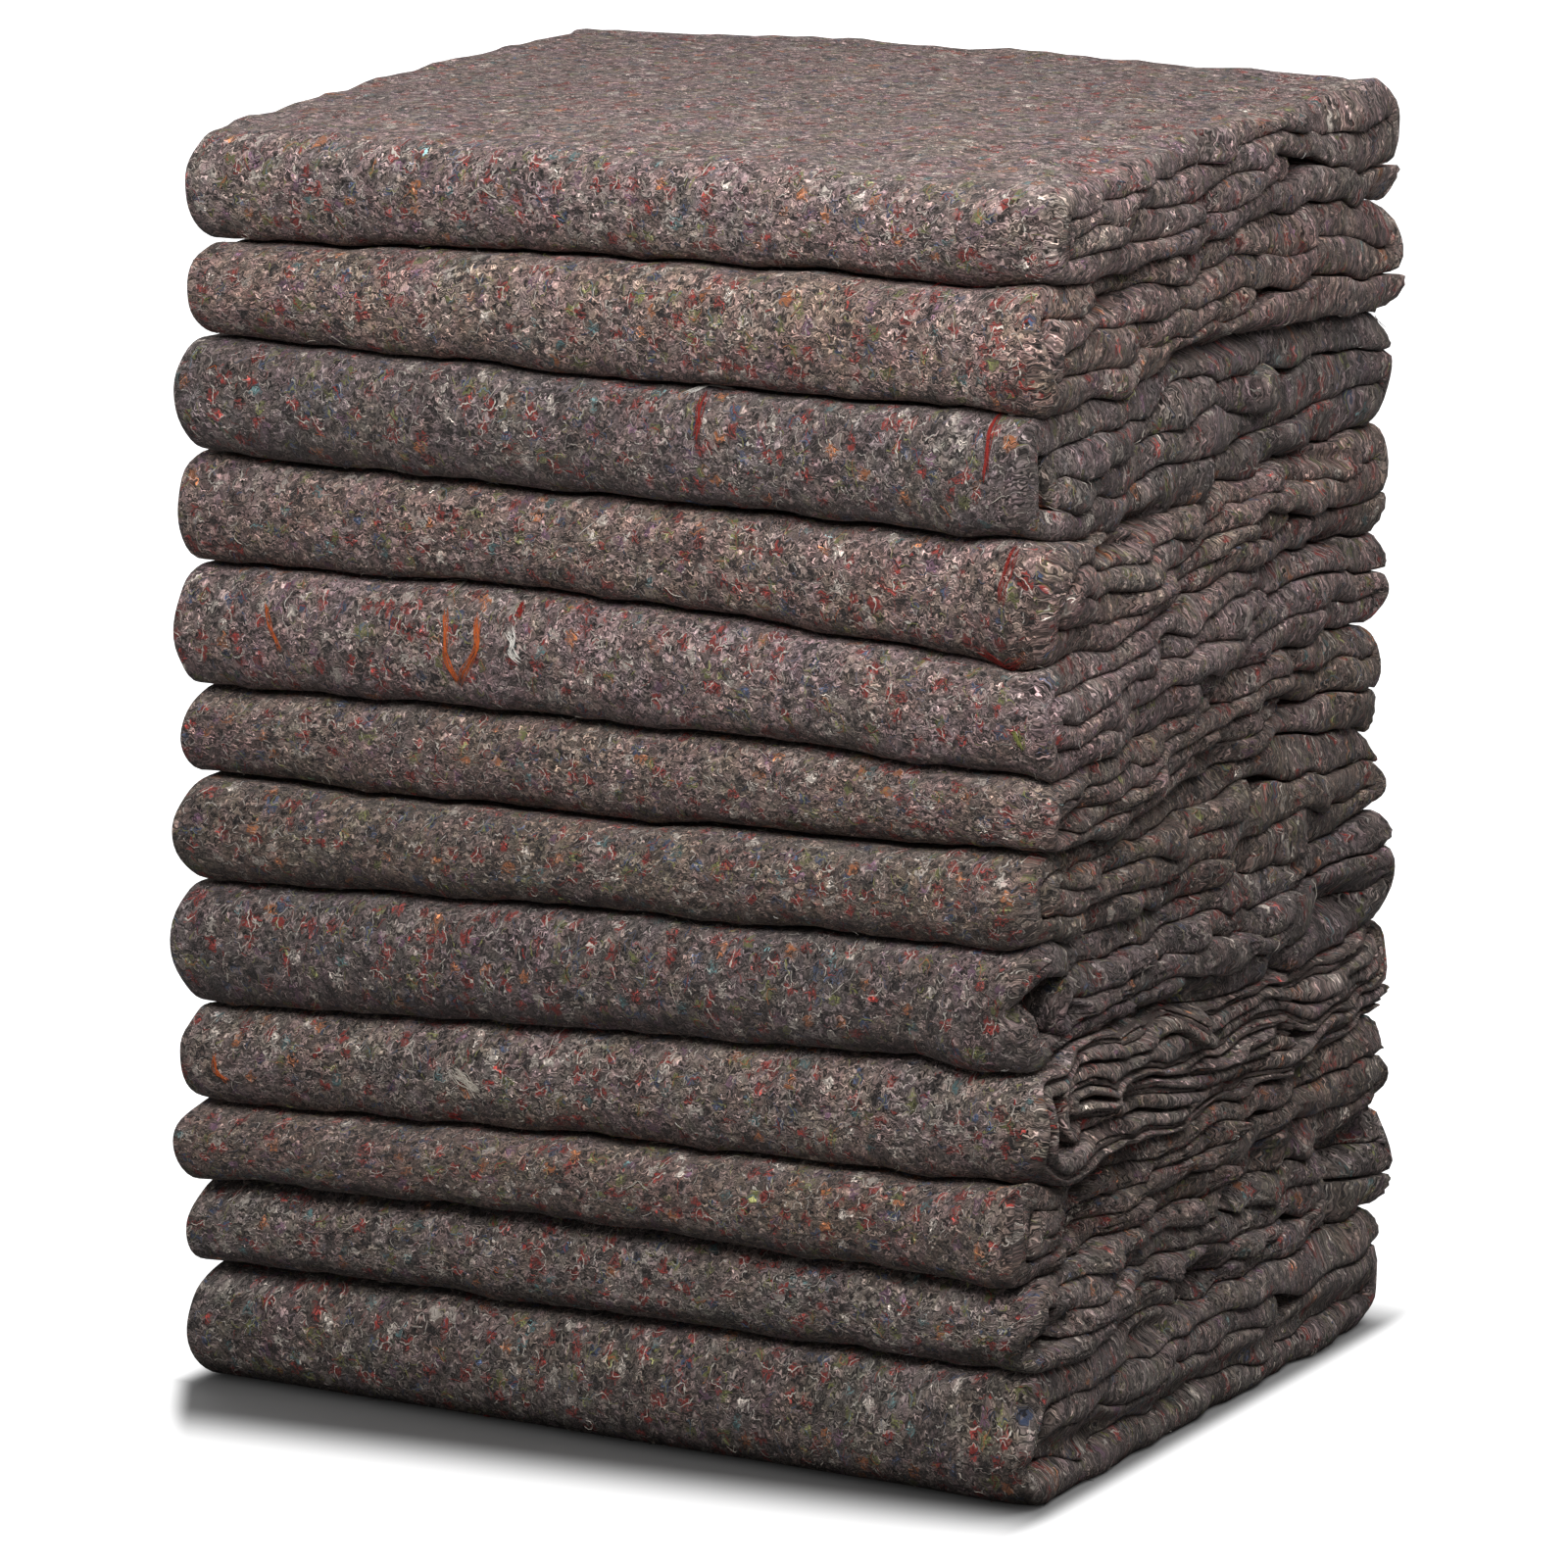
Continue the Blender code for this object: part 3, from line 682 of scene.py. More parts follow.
TUFT_CELL, PILL_CELL = 0.0078, 0.0064
TUFT_BASE = 0.42          # how much of a tuft's colour shows between its fibres

# The fibres' directions, in turns, and their cell's length and width in metres. Real ones are 0.03 mm thick
# and are drawn as bundles, which is what shows from a step away
FIBRE_LAYERS = ((0.06, 0.0038, 0.00064), (0.23, 0.0033, 0.00060), (0.41, 0.0040, 0.00068))
FIBRE_DARK, FIBRE_LIGHT = 0.0, 2.30      # times the colour under the darkest and the lightest fibre
THREAD_LAYERS = ((0.0040, 0.00040, 0.0052, (0.0016, 0.0070), FINE_THREADS),
                 (0.0078, 0.00050, 0.0100, (0.0022, 0.0090), BOLD_THREADS))
# On the right end the strip's fold draws the fibres upright, in bundles that are seen from the side
UPRIGHT_FIBRES = (0.02, 0.0042, 0.00090)
UPRIGHT_DARK, UPRIGHT_LIGHT = 0.25, 1.75
DULL_FROM, DULL_FULL, DULL_LEFT = 0.219, 0.234, 0.34   # along X in metres, and the colour left past there

# Unevenness of the felt: patches a metre, their roughness, and what their random colour is times and plus.
# Patches of about 40 mm come from the carding, those of about 7 mm are single rags
Patches = namedtuple("Patches", "scale roughness times plus")
CARDING = Patches(26.0, 0.55, (0.28, 0.25, 0.28), (0.87, 0.875, 0.85))
RAGS = Patches(150.0, 0.6, (0.30, 0.26, 0.26), (0.85, 0.87, 0.87))
KINKS_PER_METRE = 330.0
FIBRE_KINK, THREAD_KINK = 0.0056, 0.0026     # how far aside a kink takes them, in metres
PATTERN_STEP = (3.7, 1.9, 0)                 # from one blanket's pattern to the next one's, in metres
FIBRE_RELIEF, THREAD_RELIEF = 0.35, 0.6      # how high they stand, next to the rags
RELIEF_STRENGTH, RELIEF_DEPTH = 0.8, 0.0012


def needled_felt(index, finish):
    """Needled felt of recycled rags: short fibres punched together dry, grey or mauve from afar, with
    coloured threads, tufts and dark pills close by. It is matt and lightly hairy."""
    material = bpy.data.materials.new(f"needled_rag_felt_{index + 1:02d}")
    material.use_nodes = True
    tree = material.node_tree
    shader = tree.nodes["Principled BSDF"]
    shader.inputs["Roughness"].default_value = 0.95
    shader.inputs["Specular IOR Level"].default_value = 0.15
    shader.inputs["Sheen Weight"].default_value = 0.26
    shader.inputs["Sheen Roughness"].default_value = 0.6
    shader.inputs["Sheen Tint"].default_value = (*linear("#d8ccc8"), 1.0)
    uv = add(tree, "ShaderNodeUVMap", {}, uv_map="flat_metres")
    own = add(tree, "ShaderNodeMapping", {"Vector": uv.outputs["UV"],
                                          "Location": [step * index for step in PATTERN_STEP]})
    flat = own.outputs["Vector"]
    kinks = add(tree, "ShaderNodeTexNoise", {"Vector": flat, "Scale": KINKS_PER_METRE, "Detail": 1.0,
                                             "Roughness": 0.6}, noise_dimensions="2D")
    centred = add(tree, "ShaderNodeVectorMath", {0: kinks.outputs["Color"], 1: (0.5, 0.5, 0.5)},
                  operation="SUBTRACT")
    curled, swayed = (add(tree, "ShaderNodeVectorMath",
                          {0: centred.outputs["Vector"], 1: (kink, kink, 0.0), 2: flat},
                          operation="MULTIPLY_ADD").outputs["Vector"] for kink in (FIBRE_KINK, THREAD_KINK))

    tints = []
    for patches in (CARDING, RAGS):
        noise = add(tree, "ShaderNodeTexNoise", {"Vector": flat, "Scale": patches.scale, "Detail": 2.0,
                                                 "Roughness": patches.roughness}, noise_dimensions="2D")
        tints.append(add(tree, "ShaderNodeVectorMath",
                         {0: noise.outputs["Color"], 1: patches.times, 2: patches.plus},
                         operation="MULTIPLY_ADD").outputs["Vector"])
    relief = noise.outputs["Fac"]
    tinted = add(tree, "ShaderNodeVectorMath", {0: tints[0], 1: tints[1]}, operation="MULTIPLY")
    colour = add(tree, "ShaderNodeVectorMath", {0: linear(finish.felt), 1: tinted.outputs["Vector"]},
                 operation="MULTIPLY").outputs["Vector"]

    solid = add(tree, "ShaderNodeTexCoord", {})
    along = add(tree, "ShaderNodeSeparateXYZ", {"Vector": solid.outputs["Object"]})
    bare = add(tree, "ShaderNodeMapRange",
               {"Value": along.outputs["X"], "From Min": DULL_FROM, "From Max": DULL_FULL,
                "To Min": 1.0, "To Max": DULL_LEFT}).outputs["Result"]
    chance, shape = spots(tree, curled, TUFT_CELL, TUFT_CORE, TUFT_RIM)
    chance = add(tree, "ShaderNodeSeparateColor", {"Color": chance}).outputs["Green"]
    shape = add(tree, "ShaderNodeMath", {0: shape, 1: bare}, operation="MULTIPLY").outputs["Value"]
    _, tuft, tuft_colour = strewn(tree, chance, shape, TUFTS, colour)
    faint = add(tree, "ShaderNodeMath", {0: tuft, 1: TUFT_BASE}, operation="MULTIPLY")
    colour = add(tree, "ShaderNodeMix", {0: faint.outputs["Value"], 6: colour, 7: tuft_colour},
                 data_type="RGBA").outputs[2]
    for turns, length, width in FIBRE_LAYERS:
        colour, shape = fibres(tree, curled, turns, length, width, FIBRE_DARK - 1.0, FIBRE_LIGHT - 1.0,
                               colour, tuft, tuft_colour)
        relief = add(tree, "ShaderNodeMath", {0: shape, 1: FIBRE_RELIEF, 2: relief},
                     operation="MULTIPLY_ADD").outputs["Value"]
    upright = []
    for gain in (UPRIGHT_DARK - 1.0, UPRIGHT_LIGHT - 1.0):
        grown = add(tree, "ShaderNodeMapRange", {"Value": along.outputs["X"], "From Min": DULL_FROM,
                                                 "From Max": DULL_FULL, "To Min": 0.0, "To Max": gain})
        upright.append(grown.outputs["Result"])
    colour, shape = fibres(tree, curled, *UPRIGHT_FIBRES, *upright, colour, tuft, tuft_colour)
    chance, shape = spots(tree, curled, PILL_CELL, PILL_CORE, PILL_RIM)
    chance = add(tree, "ShaderNodeSeparateColor", {"Color": chance}).outputs["Blue"]
    colour, _, _ = strewn(tree, chance, shape, PILLS, colour)
    for cell, width, length, curl, colours in THREAD_LAYERS:
        chance, shape = threads(tree, swayed, cell, width, length, curl)
        shape = add(tree, "ShaderNodeMath", {0: shape, 1: bare}, operation="MULTIPLY").outputs["Value"]
        colour, shown, _ = strewn(tree, chance, shape, colours, colour)
        relief = add(tree, "ShaderNodeMath", {0: shown, 1: THREAD_RELIEF, 2: relief},
                     operation="MULTIPLY_ADD").outputs["Value"]
    tree.links.new(colour, shader.inputs["Base Color"])
    bump = add(tree, "ShaderNodeBump", {"Height": relief, "Strength": RELIEF_STRENGTH,
                                        "Distance": RELIEF_DEPTH})
    tree.links.new(bump.outputs["Normal"], shader.inputs["Normal"])
    return material


# Pieces

def build_blanket(folded):
    """One blanket: its felt sheet in place of its solid."""
    index = folded.index
    name = f"felt_blanket_{index + 1:02d}"
    piece = bpy.data.objects.new(name, sheet_mesh(name, folded))
    bpy.context.scene.collection.objects.link(piece)
    piece.data.materials.append(needled_felt(index, FINISHES[index]))
    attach(piece, "root")
    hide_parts(f"blanket_{index + 1:02d}")
    return piece


# Loose threads and hairs, which stand off the felt

# colour of the thread, its share of all; dyed: 1 where it is a bright one
ThreadKind = namedtuple("ThreadKind", "name colour share dyed")
THREAD_KINDS = (
    ThreadKind("undyed", "#c9c0b4", 0.19, 0), ThreadKind("grey", "#8f8580", 0.24, 0),
    ThreadKind("black", "#0f0d0e", 0.20, 0), ThreadKind("red", "#8f2e28", 0.13, 1),
    ThreadKind("yellow_green", "#86884d", 0.10, 1), ThreadKind("blue", "#3e5272", 0.05, 1),
    ThreadKind("orange", "#c4622f", 0.02, 1), ThreadKind("mauve", "#86616b", 0.04, 1),
    ThreadKind("green", "#4a6349", 0.03, 1), ThreadKind("white", "#e9e4dd", 0.02, 0),
)
THREAD_POINTS = 6
THREAD_LENGTH = (0.003, 0.0105)
THREAD_THICKNESS = (0.00026, 0.00044)
THREAD_CURL = 260.0       # radians a metre, one standard deviation
HAIR_POINTS = 4
HAIR_LENGTH = (0.003, 0.0075)
HAIR_THICKNESS = (0.00017, 0.00026)
HAIR_RISE = (0.0006, 0.0030)
HAIR_BEND = 1.5           # a hair rises by this power of the way along it
HAIR_SHARE = 0.42
SEED = 5
THREAD_SINK, THREAD_LIFT = -0.00016, 0.0004   # how far off the felt a thread lies, and how far it sways there
THREAD_SWAY = 0.0006
RIM_MARGIN = 0.001        # they stay this far inside the cut edges

# Where they lie: a stretch of the sheet each way, the side that shows, how many a square metre of it, and the
# share of the bright ones that is left there
Bed = namedtuple("Bed", "u_from u_to v_from v_to outward density dyed")
FRONT_DENSITY, END_DENSITY, TOP_DENSITY, BACK_DENSITY, LEFT_DENSITY = 4600, 5200, 2400, 1400, 1400
END_DYED = 0.28
BED_MARGIN = 0.006


def beds(folded):
    """The parts of a sheet that show: the front fold, the right end, the left end, the back and, on the top
    blanket, its upper side."""
    across, along = folded.strip.marks, folded.runs.marks
    shown = (across[6], across[7])
    places = [
        Bed(*shown, along[1] - 2 * BED_MARGIN, along[2] + 2 * BED_MARGIN, 1, FRONT_DENSITY, 1.0),
        Bed(across[5] - BED_MARGIN, across[6] + BED_MARGIN, 0.0, along[-1], 1, END_DENSITY, END_DYED),
        Bed(across[3], across[4], 0.0, along[-1], -1, LEFT_DENSITY, 1.0),
        Bed(*shown, along[3], along[4], 1, BACK_DENSITY, 1.0),
    ]
    if folded.index == len(BLANKETS) - 1:
        places.append(Bed(*shown, 0.0, along[1], 1, TOP_DENSITY, 1.0))
    return places


# Threads that catch the eye on the front folds: the blanket from the floor up, the thread's kind, how many
# strands it has, how far they lie apart, and its way as (mm along the fold, share of the blanket's height)
Placed = namedtuple("Placed", "blanket kind strands apart way")
PLACED_THREADS = (
    Placed(8, "orange", 10, 2.8, ((-82.5, 0.76), (-80.5, 0.52), (-75.0, 0.29))),
    Placed(8, "orange", 10, 3.2, ((-74.5, 0.29), (-68.0, 0.42), (-62.0, 0.58), (-65.5, 0.76))),
    Placed(8, "white", 13, 3.0, ((-45.4, 0.70), (-41.0, 0.65), (-42.8, 0.56), (-37.5, 0.49))),
    Placed(8, "red", 10, 2.2, ((-43.5, 0.84), (-40.5, 0.77))),
    Placed(8, "orange", 7, 2.0, ((-178.9, 0.74), (-176.0, 0.58), (-172.5, 0.40))),
    Placed(8, "undyed", 2, 0.4, ((-92.0, 0.88), (-87.0, 0.95), (-81.0, 0.92), (-83.0, 0.80))),
    Placed(8, "yellow_green", 14, 3.0, ((221.0, 0.45), (224.0, 0.33))),
    Placed(9, "red", 9, 2.8, ((219.5, 0.82), (218.0, 0.66), (214.0, 0.50))),
    Placed(9, "red", 12, 5.0, ((200.0, 0.20), (212.0, 0.12), (222.0, 0.16))),
    Placed(10, "red", 10, 3.8, ((58.0, 0.87), (61.5, 0.75), (60.5, 0.62))),
    Placed(10, "white", 9, 4.0, ((48.0, 0.86), (57.0, 0.91), (67.0, 0.93))),
    Placed(10, "red", 11, 3.4, ((211.0, 0.94), (215.5, 0.74), (215.0, 0.52))),
    Placed(4, "orange", 7, 2.0, ((-217.5, 0.60), (-216.5, 0.45), (-211.0, 0.36))),
    Placed(4, "undyed", 20, 6.0, ((-86.0, 0.60), (-78.0, 0.50), (-72.0, 0.42))),
    Placed(4, "red", 10, 3.0, ((-91.0, 0.22), (-86.0, 0.20))),
    Placed(12, "undyed", 2, 0.4, ((-70.0, 0.55), (-60.0, 0.62), (-52.0, 0.55))),
    Placed(3, "undyed", 3, 0.5, ((20.0, 0.62), (27.0, 0.70), (33.0, 0.60))),
)
STRAND_POINTS = 12
STRAND_WAVE, STRAND_BEATS = 0.0005, 1.5       # a strand's own wave aside, and how often it swings
STRAND_LATE = 0.12        # the most that a strand starts late or ends early, as a share of the way
STRAND_LIFT, STRAND_LOFT = 0.0003, 0.0004     # the least that it lies off the felt, and the most over that

TUBE_ASIDE = np.array([0.31, 0.52, 0.79])     # an odd direction, which next to no thread runs along
TUBE_END = 0.5            # thickness at its ends, as a share of its own


def tubes(paths, thickness):
    """Three-sided tubes along paths, thinner at both ends and closed there: at each point of a path three
    corners at equal turns round its tangent. Gives their corners and triangles."""
    count, steps, _ = paths.shape
    tangent = np.gradient(paths, axis=1)
    tangent /= np.linalg.norm(tangent, axis=2, keepdims=True)
    side = np.cross(tangent, TUBE_ASIDE)
    side /= np.linalg.norm(side, axis=2, keepdims=True)
    other = np.cross(tangent, side)
    taper = np.ones(steps)
    taper[[0, -1]] = TUBE_END
    radius = 0.5 * thickness[:, None, None] * taper[None, :, None]
    turns = 2 * math.pi / 3 * np.arange(3)
    corners = np.stack([paths + radius * (math.cos(turn) * side + math.sin(turn) * other) for turn in turns],
                       axis=2).reshape(-1, 3)
    ring = np.arange(count * steps * 3).reshape(count, steps, 3)
    one, two = ring[:, :-1], ring[:, 1:]
    walls = [np.stack([one, np.roll(one, -1, 2), np.roll(two, -1, 2)], axis=-1),
             np.stack([one, np.roll(two, -1, 2), two], axis=-1)]
    caps = [ring[:, 0][:, ::-1], ring[:, -1]]
    return corners, np.concatenate([part.reshape(-1, 3) for part in walls + caps])


def curls(dice, count, steps, lengths, curl):
    """Curved paths in a plane that start at zero, as steps along and across: the heading turns at a steady
    rate of its own that also drifts."""
    length = dice.uniform(*lengths, count)[:, None]
    place = np.linspace(0.0, 1.0, steps)[None, :]
    rate, drift = dice.normal(0.0, curl, (2, count, 1))
    heading = dice.uniform(0.0, 2 * math.pi, (count, 1)) + rate * length * place + drift * length * place ** 2
    step = length / (steps - 1)
    along, across = step * np.cos(heading), step * np.sin(heading)
    return np.cumsum(along, axis=1) - along[:, :1], np.cumsum(across, axis=1) - across[:, :1]


def lay_threads(blankets):
    """Scatter threads and hairs over the beds of all blankets, and lay the placed ones. Gives one list of
    (corners, triangles) a kind."""
    dice = np.random.default_rng(SEED)
    laid = [[] for _ in THREAD_KINDS]
    for folded in blankets:
        for bed in beds(folded):
            shares = np.array([kind.share * (bed.dyed if kind.dyed else 1.0) for kind in THREAD_KINDS])
            area = (bed.u_to - bed.u_from) * (bed.v_to - bed.v_from)
            total = int(area * bed.density)
            for hair in (0, 1):
                count = int(total * (HAIR_SHARE if hair else 1.0 - HAIR_SHARE))
                steps = HAIR_POINTS if hair else THREAD_POINTS
                lengths = HAIR_LENGTH if hair else THREAD_LENGTH
                along, across = curls(dice, count, steps, lengths, THREAD_CURL)
                u = np.clip(dice.uniform(bed.u_from, bed.u_to, (count, 1)) + along,
                            RIM_MARGIN, CUT_WIDTH - RIM_MARGIN)
                v = np.clip(dice.uniform(bed.v_from, bed.v_to, (count, 1)) + across,
                            RIM_MARGIN, CUT_LENGTH - RIM_MARGIN)
                thickness = dice.uniform(*(HAIR_THICKNESS if hair else THREAD_THICKNESS), count)
                place = np.linspace(0.0, 1.0, steps)[None, :]
                if hair:
                    rise = dice.uniform(*HAIR_RISE, (count, 1)) * place ** HAIR_BEND
                else:
                    level = dice.uniform(THREAD_SINK, THREAD_LIFT, (count, 1))
                    sway = THREAD_SWAY * dice.uniform(0.0, 1.0, (count, 1))
                    rise = level + sway * np.sin(2 * math.pi * place + dice.uniform(0, 6, (count, 1)))
                paths = folded.place(u, v, bed.outward * (0.5 * FELT + rise))
                kinds = dice.choice(len(THREAD_KINDS), count, p=shares / shares.sum())
                for number in range(len(THREAD_KINDS)):
                    chosen = kinds == number
                    if chosen.any():
                        laid[number].append(tubes(paths[chosen], thickness[chosen]))
    names = [kind.name for kind in THREAD_KINDS]
    for thread in PLACED_THREADS:
        paths = strands(dice, blankets[thread.blanket - 1], thread)
        thickness = dice.uniform(*THREAD_THICKNESS, thread.strands)
        laid[names.index(thread.kind)].append(tubes(paths, thickness))
    return laid


def strands(dice, folded, thread):
    """The strands of one placed thread on the front fold: its way, each strand a little aside and wavy."""
    way = np.array(thread.way)
    knots = np.linspace(0.0, 1.0, len(way))
    place = np.linspace(0.0, 1.0, STRAND_POINTS)
    across, along = folded.strip.marks, folded.runs.marks
    x = np.interp(place, knots, way[:, 0]) * MM
    height = np.interp(place, knots, way[:, 1])
    if folded.finish.edges_right:
        x = -folded.row.side * MM - x
    if folded.row.turned:
        height = 1.0 - height
    nose = (folded.runs.length >= along[1]) & (folded.runs.length <= along[2])
    u = across[6] + 0.5 * FACE_WIDTH - x
    v = np.interp(-height * PLAIN_HEIGHT, -folded.runs.points[nose, 1], folded.runs.length[nose])
    count = thread.strands
    aside = thread.apart * MM * dice.uniform(-0.5, 0.5, (2, count, 1))
    wavy = STRAND_WAVE * np.sin(2 * math.pi * (STRAND_BEATS * place + dice.uniform(0, 1, (2, count, 1))))
    late = STRAND_LATE * dice.uniform(-1, 1, (count, 1))
    own_place = np.clip(place * (1 - abs(late)) + np.maximum(late, 0), 0, 1)
    u, v = np.interp(own_place, place, u), np.interp(own_place, place, v)
    lift = 0.5 * FELT + STRAND_LIFT + STRAND_LOFT * dice.uniform(0, 1, (count, 1)) * np.ones(STRAND_POINTS)
    return folded.place(u + aside[0] + wavy[0], v + aside[1] + wavy[1], lift)


def build_threads(blankets):
    """One joined piece of loose threads a colour."""
    pieces = []
    for kind, parts in zip(THREAD_KINDS, lay_threads(blankets)):
        starts = np.cumsum([0] + [len(corners) for corners, _ in parts])
        points = np.concatenate([corners for corners, _ in parts])
        faces = np.concatenate([triangles + start for (_, triangles), start in zip(parts, starts)])
        name = f"loose_threads_{kind.name}"
        mesh = mesh_of(name, points, faces, points[:, :2])
        piece = bpy.data.objects.new(name, mesh)
        bpy.context.scene.collection.objects.link(piece)
        mesh.materials.append(spun_thread(kind))
        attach(piece, "root")
        pieces.append(piece)
    return pieces


def spun_thread(kind):
    """Worn spun thread out of the rags: dyed, matt and plain at this size."""
    material = bpy.data.materials.new(f"spun_rag_thread_{kind.name}")
    material.use_nodes = True
    shader = material.node_tree.nodes["Principled BSDF"]
    shader.inputs["Base Color"].default_value = (*linear(kind.colour), 1.0)
    shader.inputs["Roughness"].default_value = 0.9
    shader.inputs["Specular IOR Level"].default_value = 0.2
    return material


# Stage, light and camera

FLOOR_HALF = 25.0
FLOOR_BELOW = 0.0003      # keeps the floor off the felt that rests on it
FLOOR_COLOUR, GLOW_COLOUR = "#c4c4c4", "#ffffff"

CAMERA_AZIMUTH = 29.166
CAMERA_ELEVATION = 12.335
CAMERA_DISTANCE = 4.0901
CAMERA_TARGET = Vector((0.00065, 0.0012, 0.3069))
CAMERA_RIGHT = -0.00691
CAMERA_UP = -0.01904
CAMERA_LENS = 192.2
SENSOR = 36.0
CAMERA_REACH = 100.0      # metres

# The floor's glow is painted light, not a lamp: it fades out towards the stack, and the dark patch it leaves
# round the stack's foot is a painted shadow
GLOW_FROM, GLOW_FULL = -0.004, 0.078     # metres out from the stack's front and back
GLOW_FRONT, GLOW_RIGHT, GLOW_LEFT = 1.2, 4.6, 4.5       # so many times sooner on these sides
GLOW_SLANT = 0.62         # the painted shadow in front leans so much to the right
GLOW_SHIFT = (0.036, -0.015)             # how far it is kept out in front, at the left and the right


def build_floor():
    """A plain, pale, matt floor that glows as painted light away from the stack; round the stack's foot the
    glow fades out into a painted shadow. It sends no light up at the felt.
    """
    mesh = bpy.data.meshes.new("studio_floor")
    corners = [(x * FLOOR_HALF, y * FLOOR_HALF, -FLOOR_BELOW)
               for x, y in ((-1, -1), (1, -1), (1, 1), (-1, 1))]
    mesh.from_pydata(corners, [], [(0, 1, 2, 3)])
    floor = bpy.data.objects.new("studio_floor", mesh)
    bpy.context.scene.collection.objects.link(floor)
    material = bpy.data.materials.new("white_floor_with_painted_glow_and_shadow")
    material.use_nodes = True
    tree = material.node_tree
    shader = tree.nodes["Principled BSDF"]
    shader.inputs["Base Color"].default_value = (*linear(FLOOR_COLOUR), 1.0)
    shader.inputs["Roughness"].default_value = 1.0
    shader.inputs["Specular IOR Level"].default_value = 0.0
    shader.inputs["Emission Color"].default_value = (*linear(GLOW_COLOUR), 1.0)
    place = add(tree, "ShaderNodeTexCoord", {})
    own = add(tree, "ShaderNodeSeparateXYZ", {"Vector": place.outputs["Object"]})
    leftward = add(tree, "ShaderNodeMath", {0: own.outputs["X"], 1: -1.0}, operation="MULTIPLY")
    depth = add(tree, "ShaderNodeMath", {0: own.outputs["Y"]}, operation="ABSOLUTE")
    sides = add(tree, "ShaderNodeCombineXYZ", {"X": own.outputs["X"], "Y": leftward.outputs["Value"],
                                               "Z": depth.outputs["Value"]})
    past = add(tree, "ShaderNodeVectorMath", {0: sides.outputs["Vector"],
                                              1: (0.5 * FACE_WIDTH, 0.5 * FACE_WIDTH, 0.5 * DEPTH)},
               operation="SUBTRACT")
    parts = add(tree, "ShaderNodeSeparateXYZ", {"Vector": past.outputs["Vector"]})
    ahead = add(tree, "ShaderNodeMath", {0: parts.outputs["Z"], 1: 0.0}, operation="MAXIMUM")
    slanted = add(tree, "ShaderNodeMath", {0: ahead.outputs["Value"], 1: GLOW_SLANT, 2: parts.outputs["Y"]},
                  operation="MULTIPLY_ADD")
    shift = add(tree, "ShaderNodeMapRange",
                {"Value": own.outputs["X"], "From Min": -0.5 * FACE_WIDTH, "From Max": 0.5 * FACE_WIDTH,
                 "To Min": GLOW_SHIFT[0], "To Max": GLOW_SHIFT[1]})
    later = add(tree, "ShaderNodeMath", {0: parts.outputs["Z"], 1: shift.outputs["Result"]},
                operation="SUBTRACT")
    shifted = add(tree, "ShaderNodeCombineXYZ", {"X": parts.outputs["X"], "Y": slanted.outputs["Value"],
                                                 "Z": later.outputs["Value"]})
    out = add(tree, "ShaderNodeVectorMath", {0: shifted.outputs["Vector"], 1: (0, 0, 0)}, operation="MAXIMUM")
    weighed = add(tree, "ShaderNodeVectorMath",
                  {0: out.outputs["Vector"], 1: (GLOW_RIGHT, GLOW_LEFT, GLOW_FRONT)}, operation="MULTIPLY")
    far = add(tree, "ShaderNodeVectorMath", {0: weighed.outputs["Vector"]}, operation="LENGTH")
    # painted glow of the floor, fading out near the stack into a painted shadow
    glow = add(tree, "ShaderNodeMapRange", {"Value": far.outputs["Value"], "From Min": GLOW_FROM,
                                            "From Max": GLOW_FULL, "To Min": 0.0, "To Max": 1.0},
               interpolation_type="SMOOTHSTEP")
    tree.links.new(glow.outputs["Result"], shader.inputs["Emission Strength"])
    mesh.materials.append(material)
    floor.visible_diffuse = False


ROOM_ABOVE = 0.20         # strength of the pale room over the horizon; under it is dark
ROOM_RIM = 0.05           # it fades in from so far under the horizon to so far over it
SUN_STRENGTH = 1.6
SUN_ANGLE = 60            # degrees; the wider, the softer
SUN_DIRECTION = (0.06, 0.46, 0.86)
LAMP_PLACE = (0.53, -1.04, 1.24)
LAMP_AIM = (0.0, 0.0, 0.36)
LAMP_WIDTH, LAMP_HEIGHT = 1.5, 0.6
LAMP_POWER = 23.3


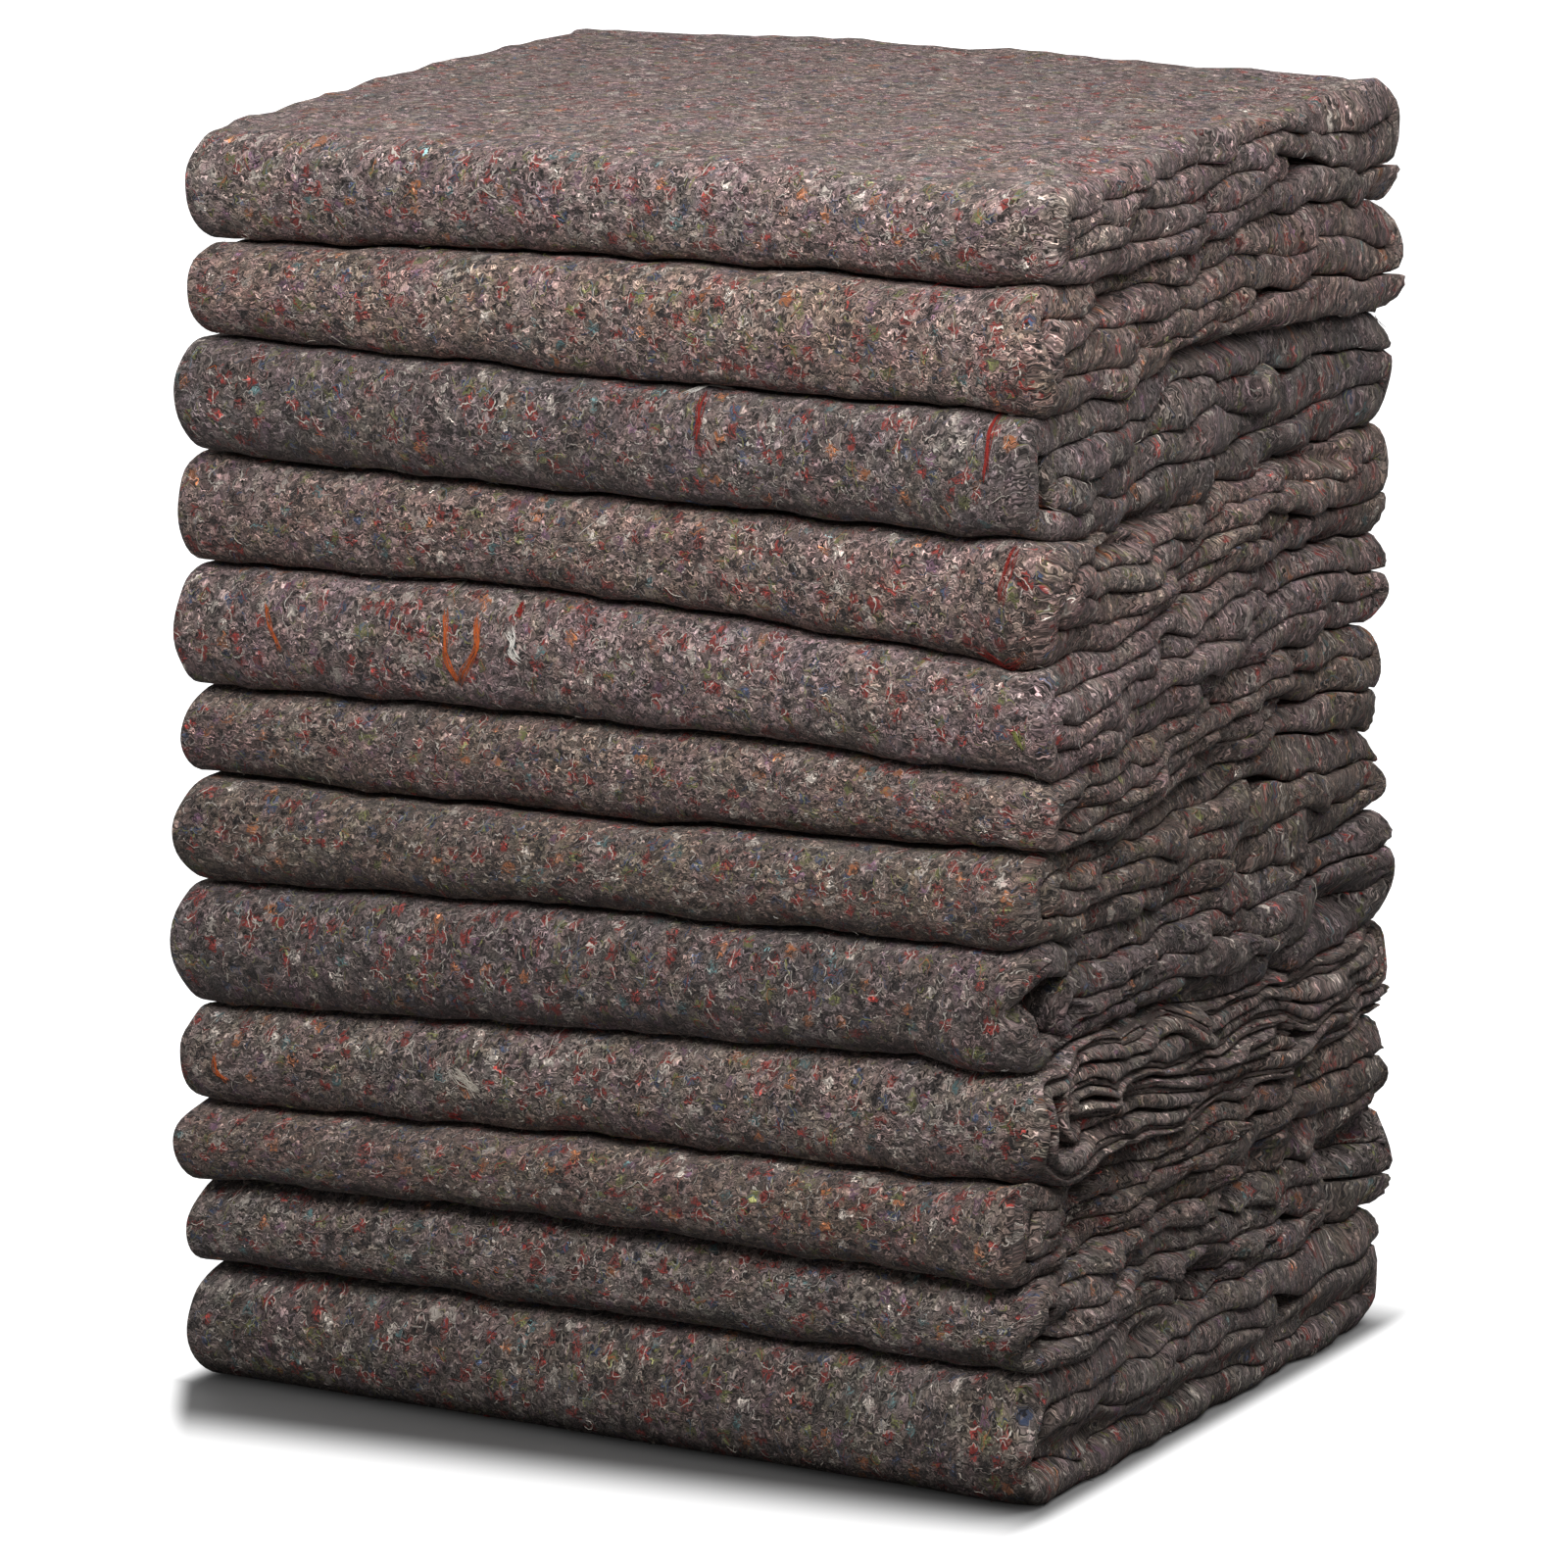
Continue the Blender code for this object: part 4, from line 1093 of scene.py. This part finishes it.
def build_light(felts):
    """A pale room, a very soft lamp high behind, and a wide one near by in front, a little to the right. It
    is flagged off the floor, and its light falls off down the stack."""
    world = bpy.data.worlds.new("pale_room")
    world.use_nodes = True
    tree = world.node_tree
    way = add(tree, "ShaderNodeTexCoord", {})
    up = add(tree, "ShaderNodeSeparateXYZ", {"Vector": way.outputs["Generated"]})
    bright = add(tree, "ShaderNodeMapRange", {"Value": up.outputs["Z"], "From Min": -ROOM_RIM,
                                              "From Max": ROOM_RIM, "To Min": 0.0, "To Max": ROOM_ABOVE})
    tree.links.new(bright.outputs["Result"], tree.nodes["Background"].inputs["Strength"])
    tree.nodes["Background"].inputs["Color"].default_value = (1.0, 1.0, 1.0, 1.0)
    bpy.context.scene.world = world
    sun = bpy.data.lights.new("soft_top_light", "SUN")
    sun.energy = SUN_STRENGTH
    sun.angle = math.radians(SUN_ANGLE)
    top_light = bpy.data.objects.new("soft_top_light", sun)
    top_light.rotation_euler = Vector(SUN_DIRECTION).to_track_quat("Z", "Y").to_euler()
    bpy.context.scene.collection.objects.link(top_light)
    lamp = bpy.data.lights.new("soft_key", "AREA")
    lamp.shape = "RECTANGLE"
    lamp.size, lamp.size_y = LAMP_WIDTH, LAMP_HEIGHT
    lamp.energy = LAMP_POWER
    key = bpy.data.objects.new("soft_key", lamp)
    place = Vector(LAMP_PLACE)
    turn = (place - Vector(LAMP_AIM)).to_track_quat("Z", "Y")
    key.matrix_world = Matrix.Translation(place) @ turn.to_matrix().to_4x4()
    key.light_linking.receiver_collection = felts
    bpy.context.scene.collection.objects.link(key)


def build_camera():
    """Camera at the photograph's angle and distance, looking along its own back vector."""
    azimuth, elevation = math.radians(CAMERA_AZIMUTH), math.radians(CAMERA_ELEVATION)
    back = Vector((math.sin(azimuth) * math.cos(elevation), -math.cos(azimuth) * math.cos(elevation),
                   math.sin(elevation)))
    right = Vector((math.cos(azimuth), math.sin(azimuth), 0.0))
    up = back.cross(right)
    lens = bpy.data.cameras.new("camera")
    lens.lens = CAMERA_LENS
    lens.sensor_width = SENSOR
    lens.sensor_fit = "HORIZONTAL"
    lens.clip_end = CAMERA_REACH
    camera = bpy.data.objects.new("camera", lens)
    place = CAMERA_TARGET + back * CAMERA_DISTANCE + right * CAMERA_RIGHT + up * CAMERA_UP
    turn = Matrix((right, up, back)).transposed().to_4x4()
    camera.matrix_world = Matrix.Translation(place) @ turn
    bpy.context.scene.collection.objects.link(camera)
    bpy.context.scene.camera = camera
    bpy.context.scene.view_settings.view_transform = "Standard"


build_camera()
build_floor()
folded_blankets = [Folded(number) for number in range(len(BLANKETS))]
felts = bpy.data.collections.new("felts")
for blanket in folded_blankets:
    felts.objects.link(build_blanket(blanket))
for piece in build_threads(folded_blankets):
    felts.objects.link(piece)
build_light(felts)
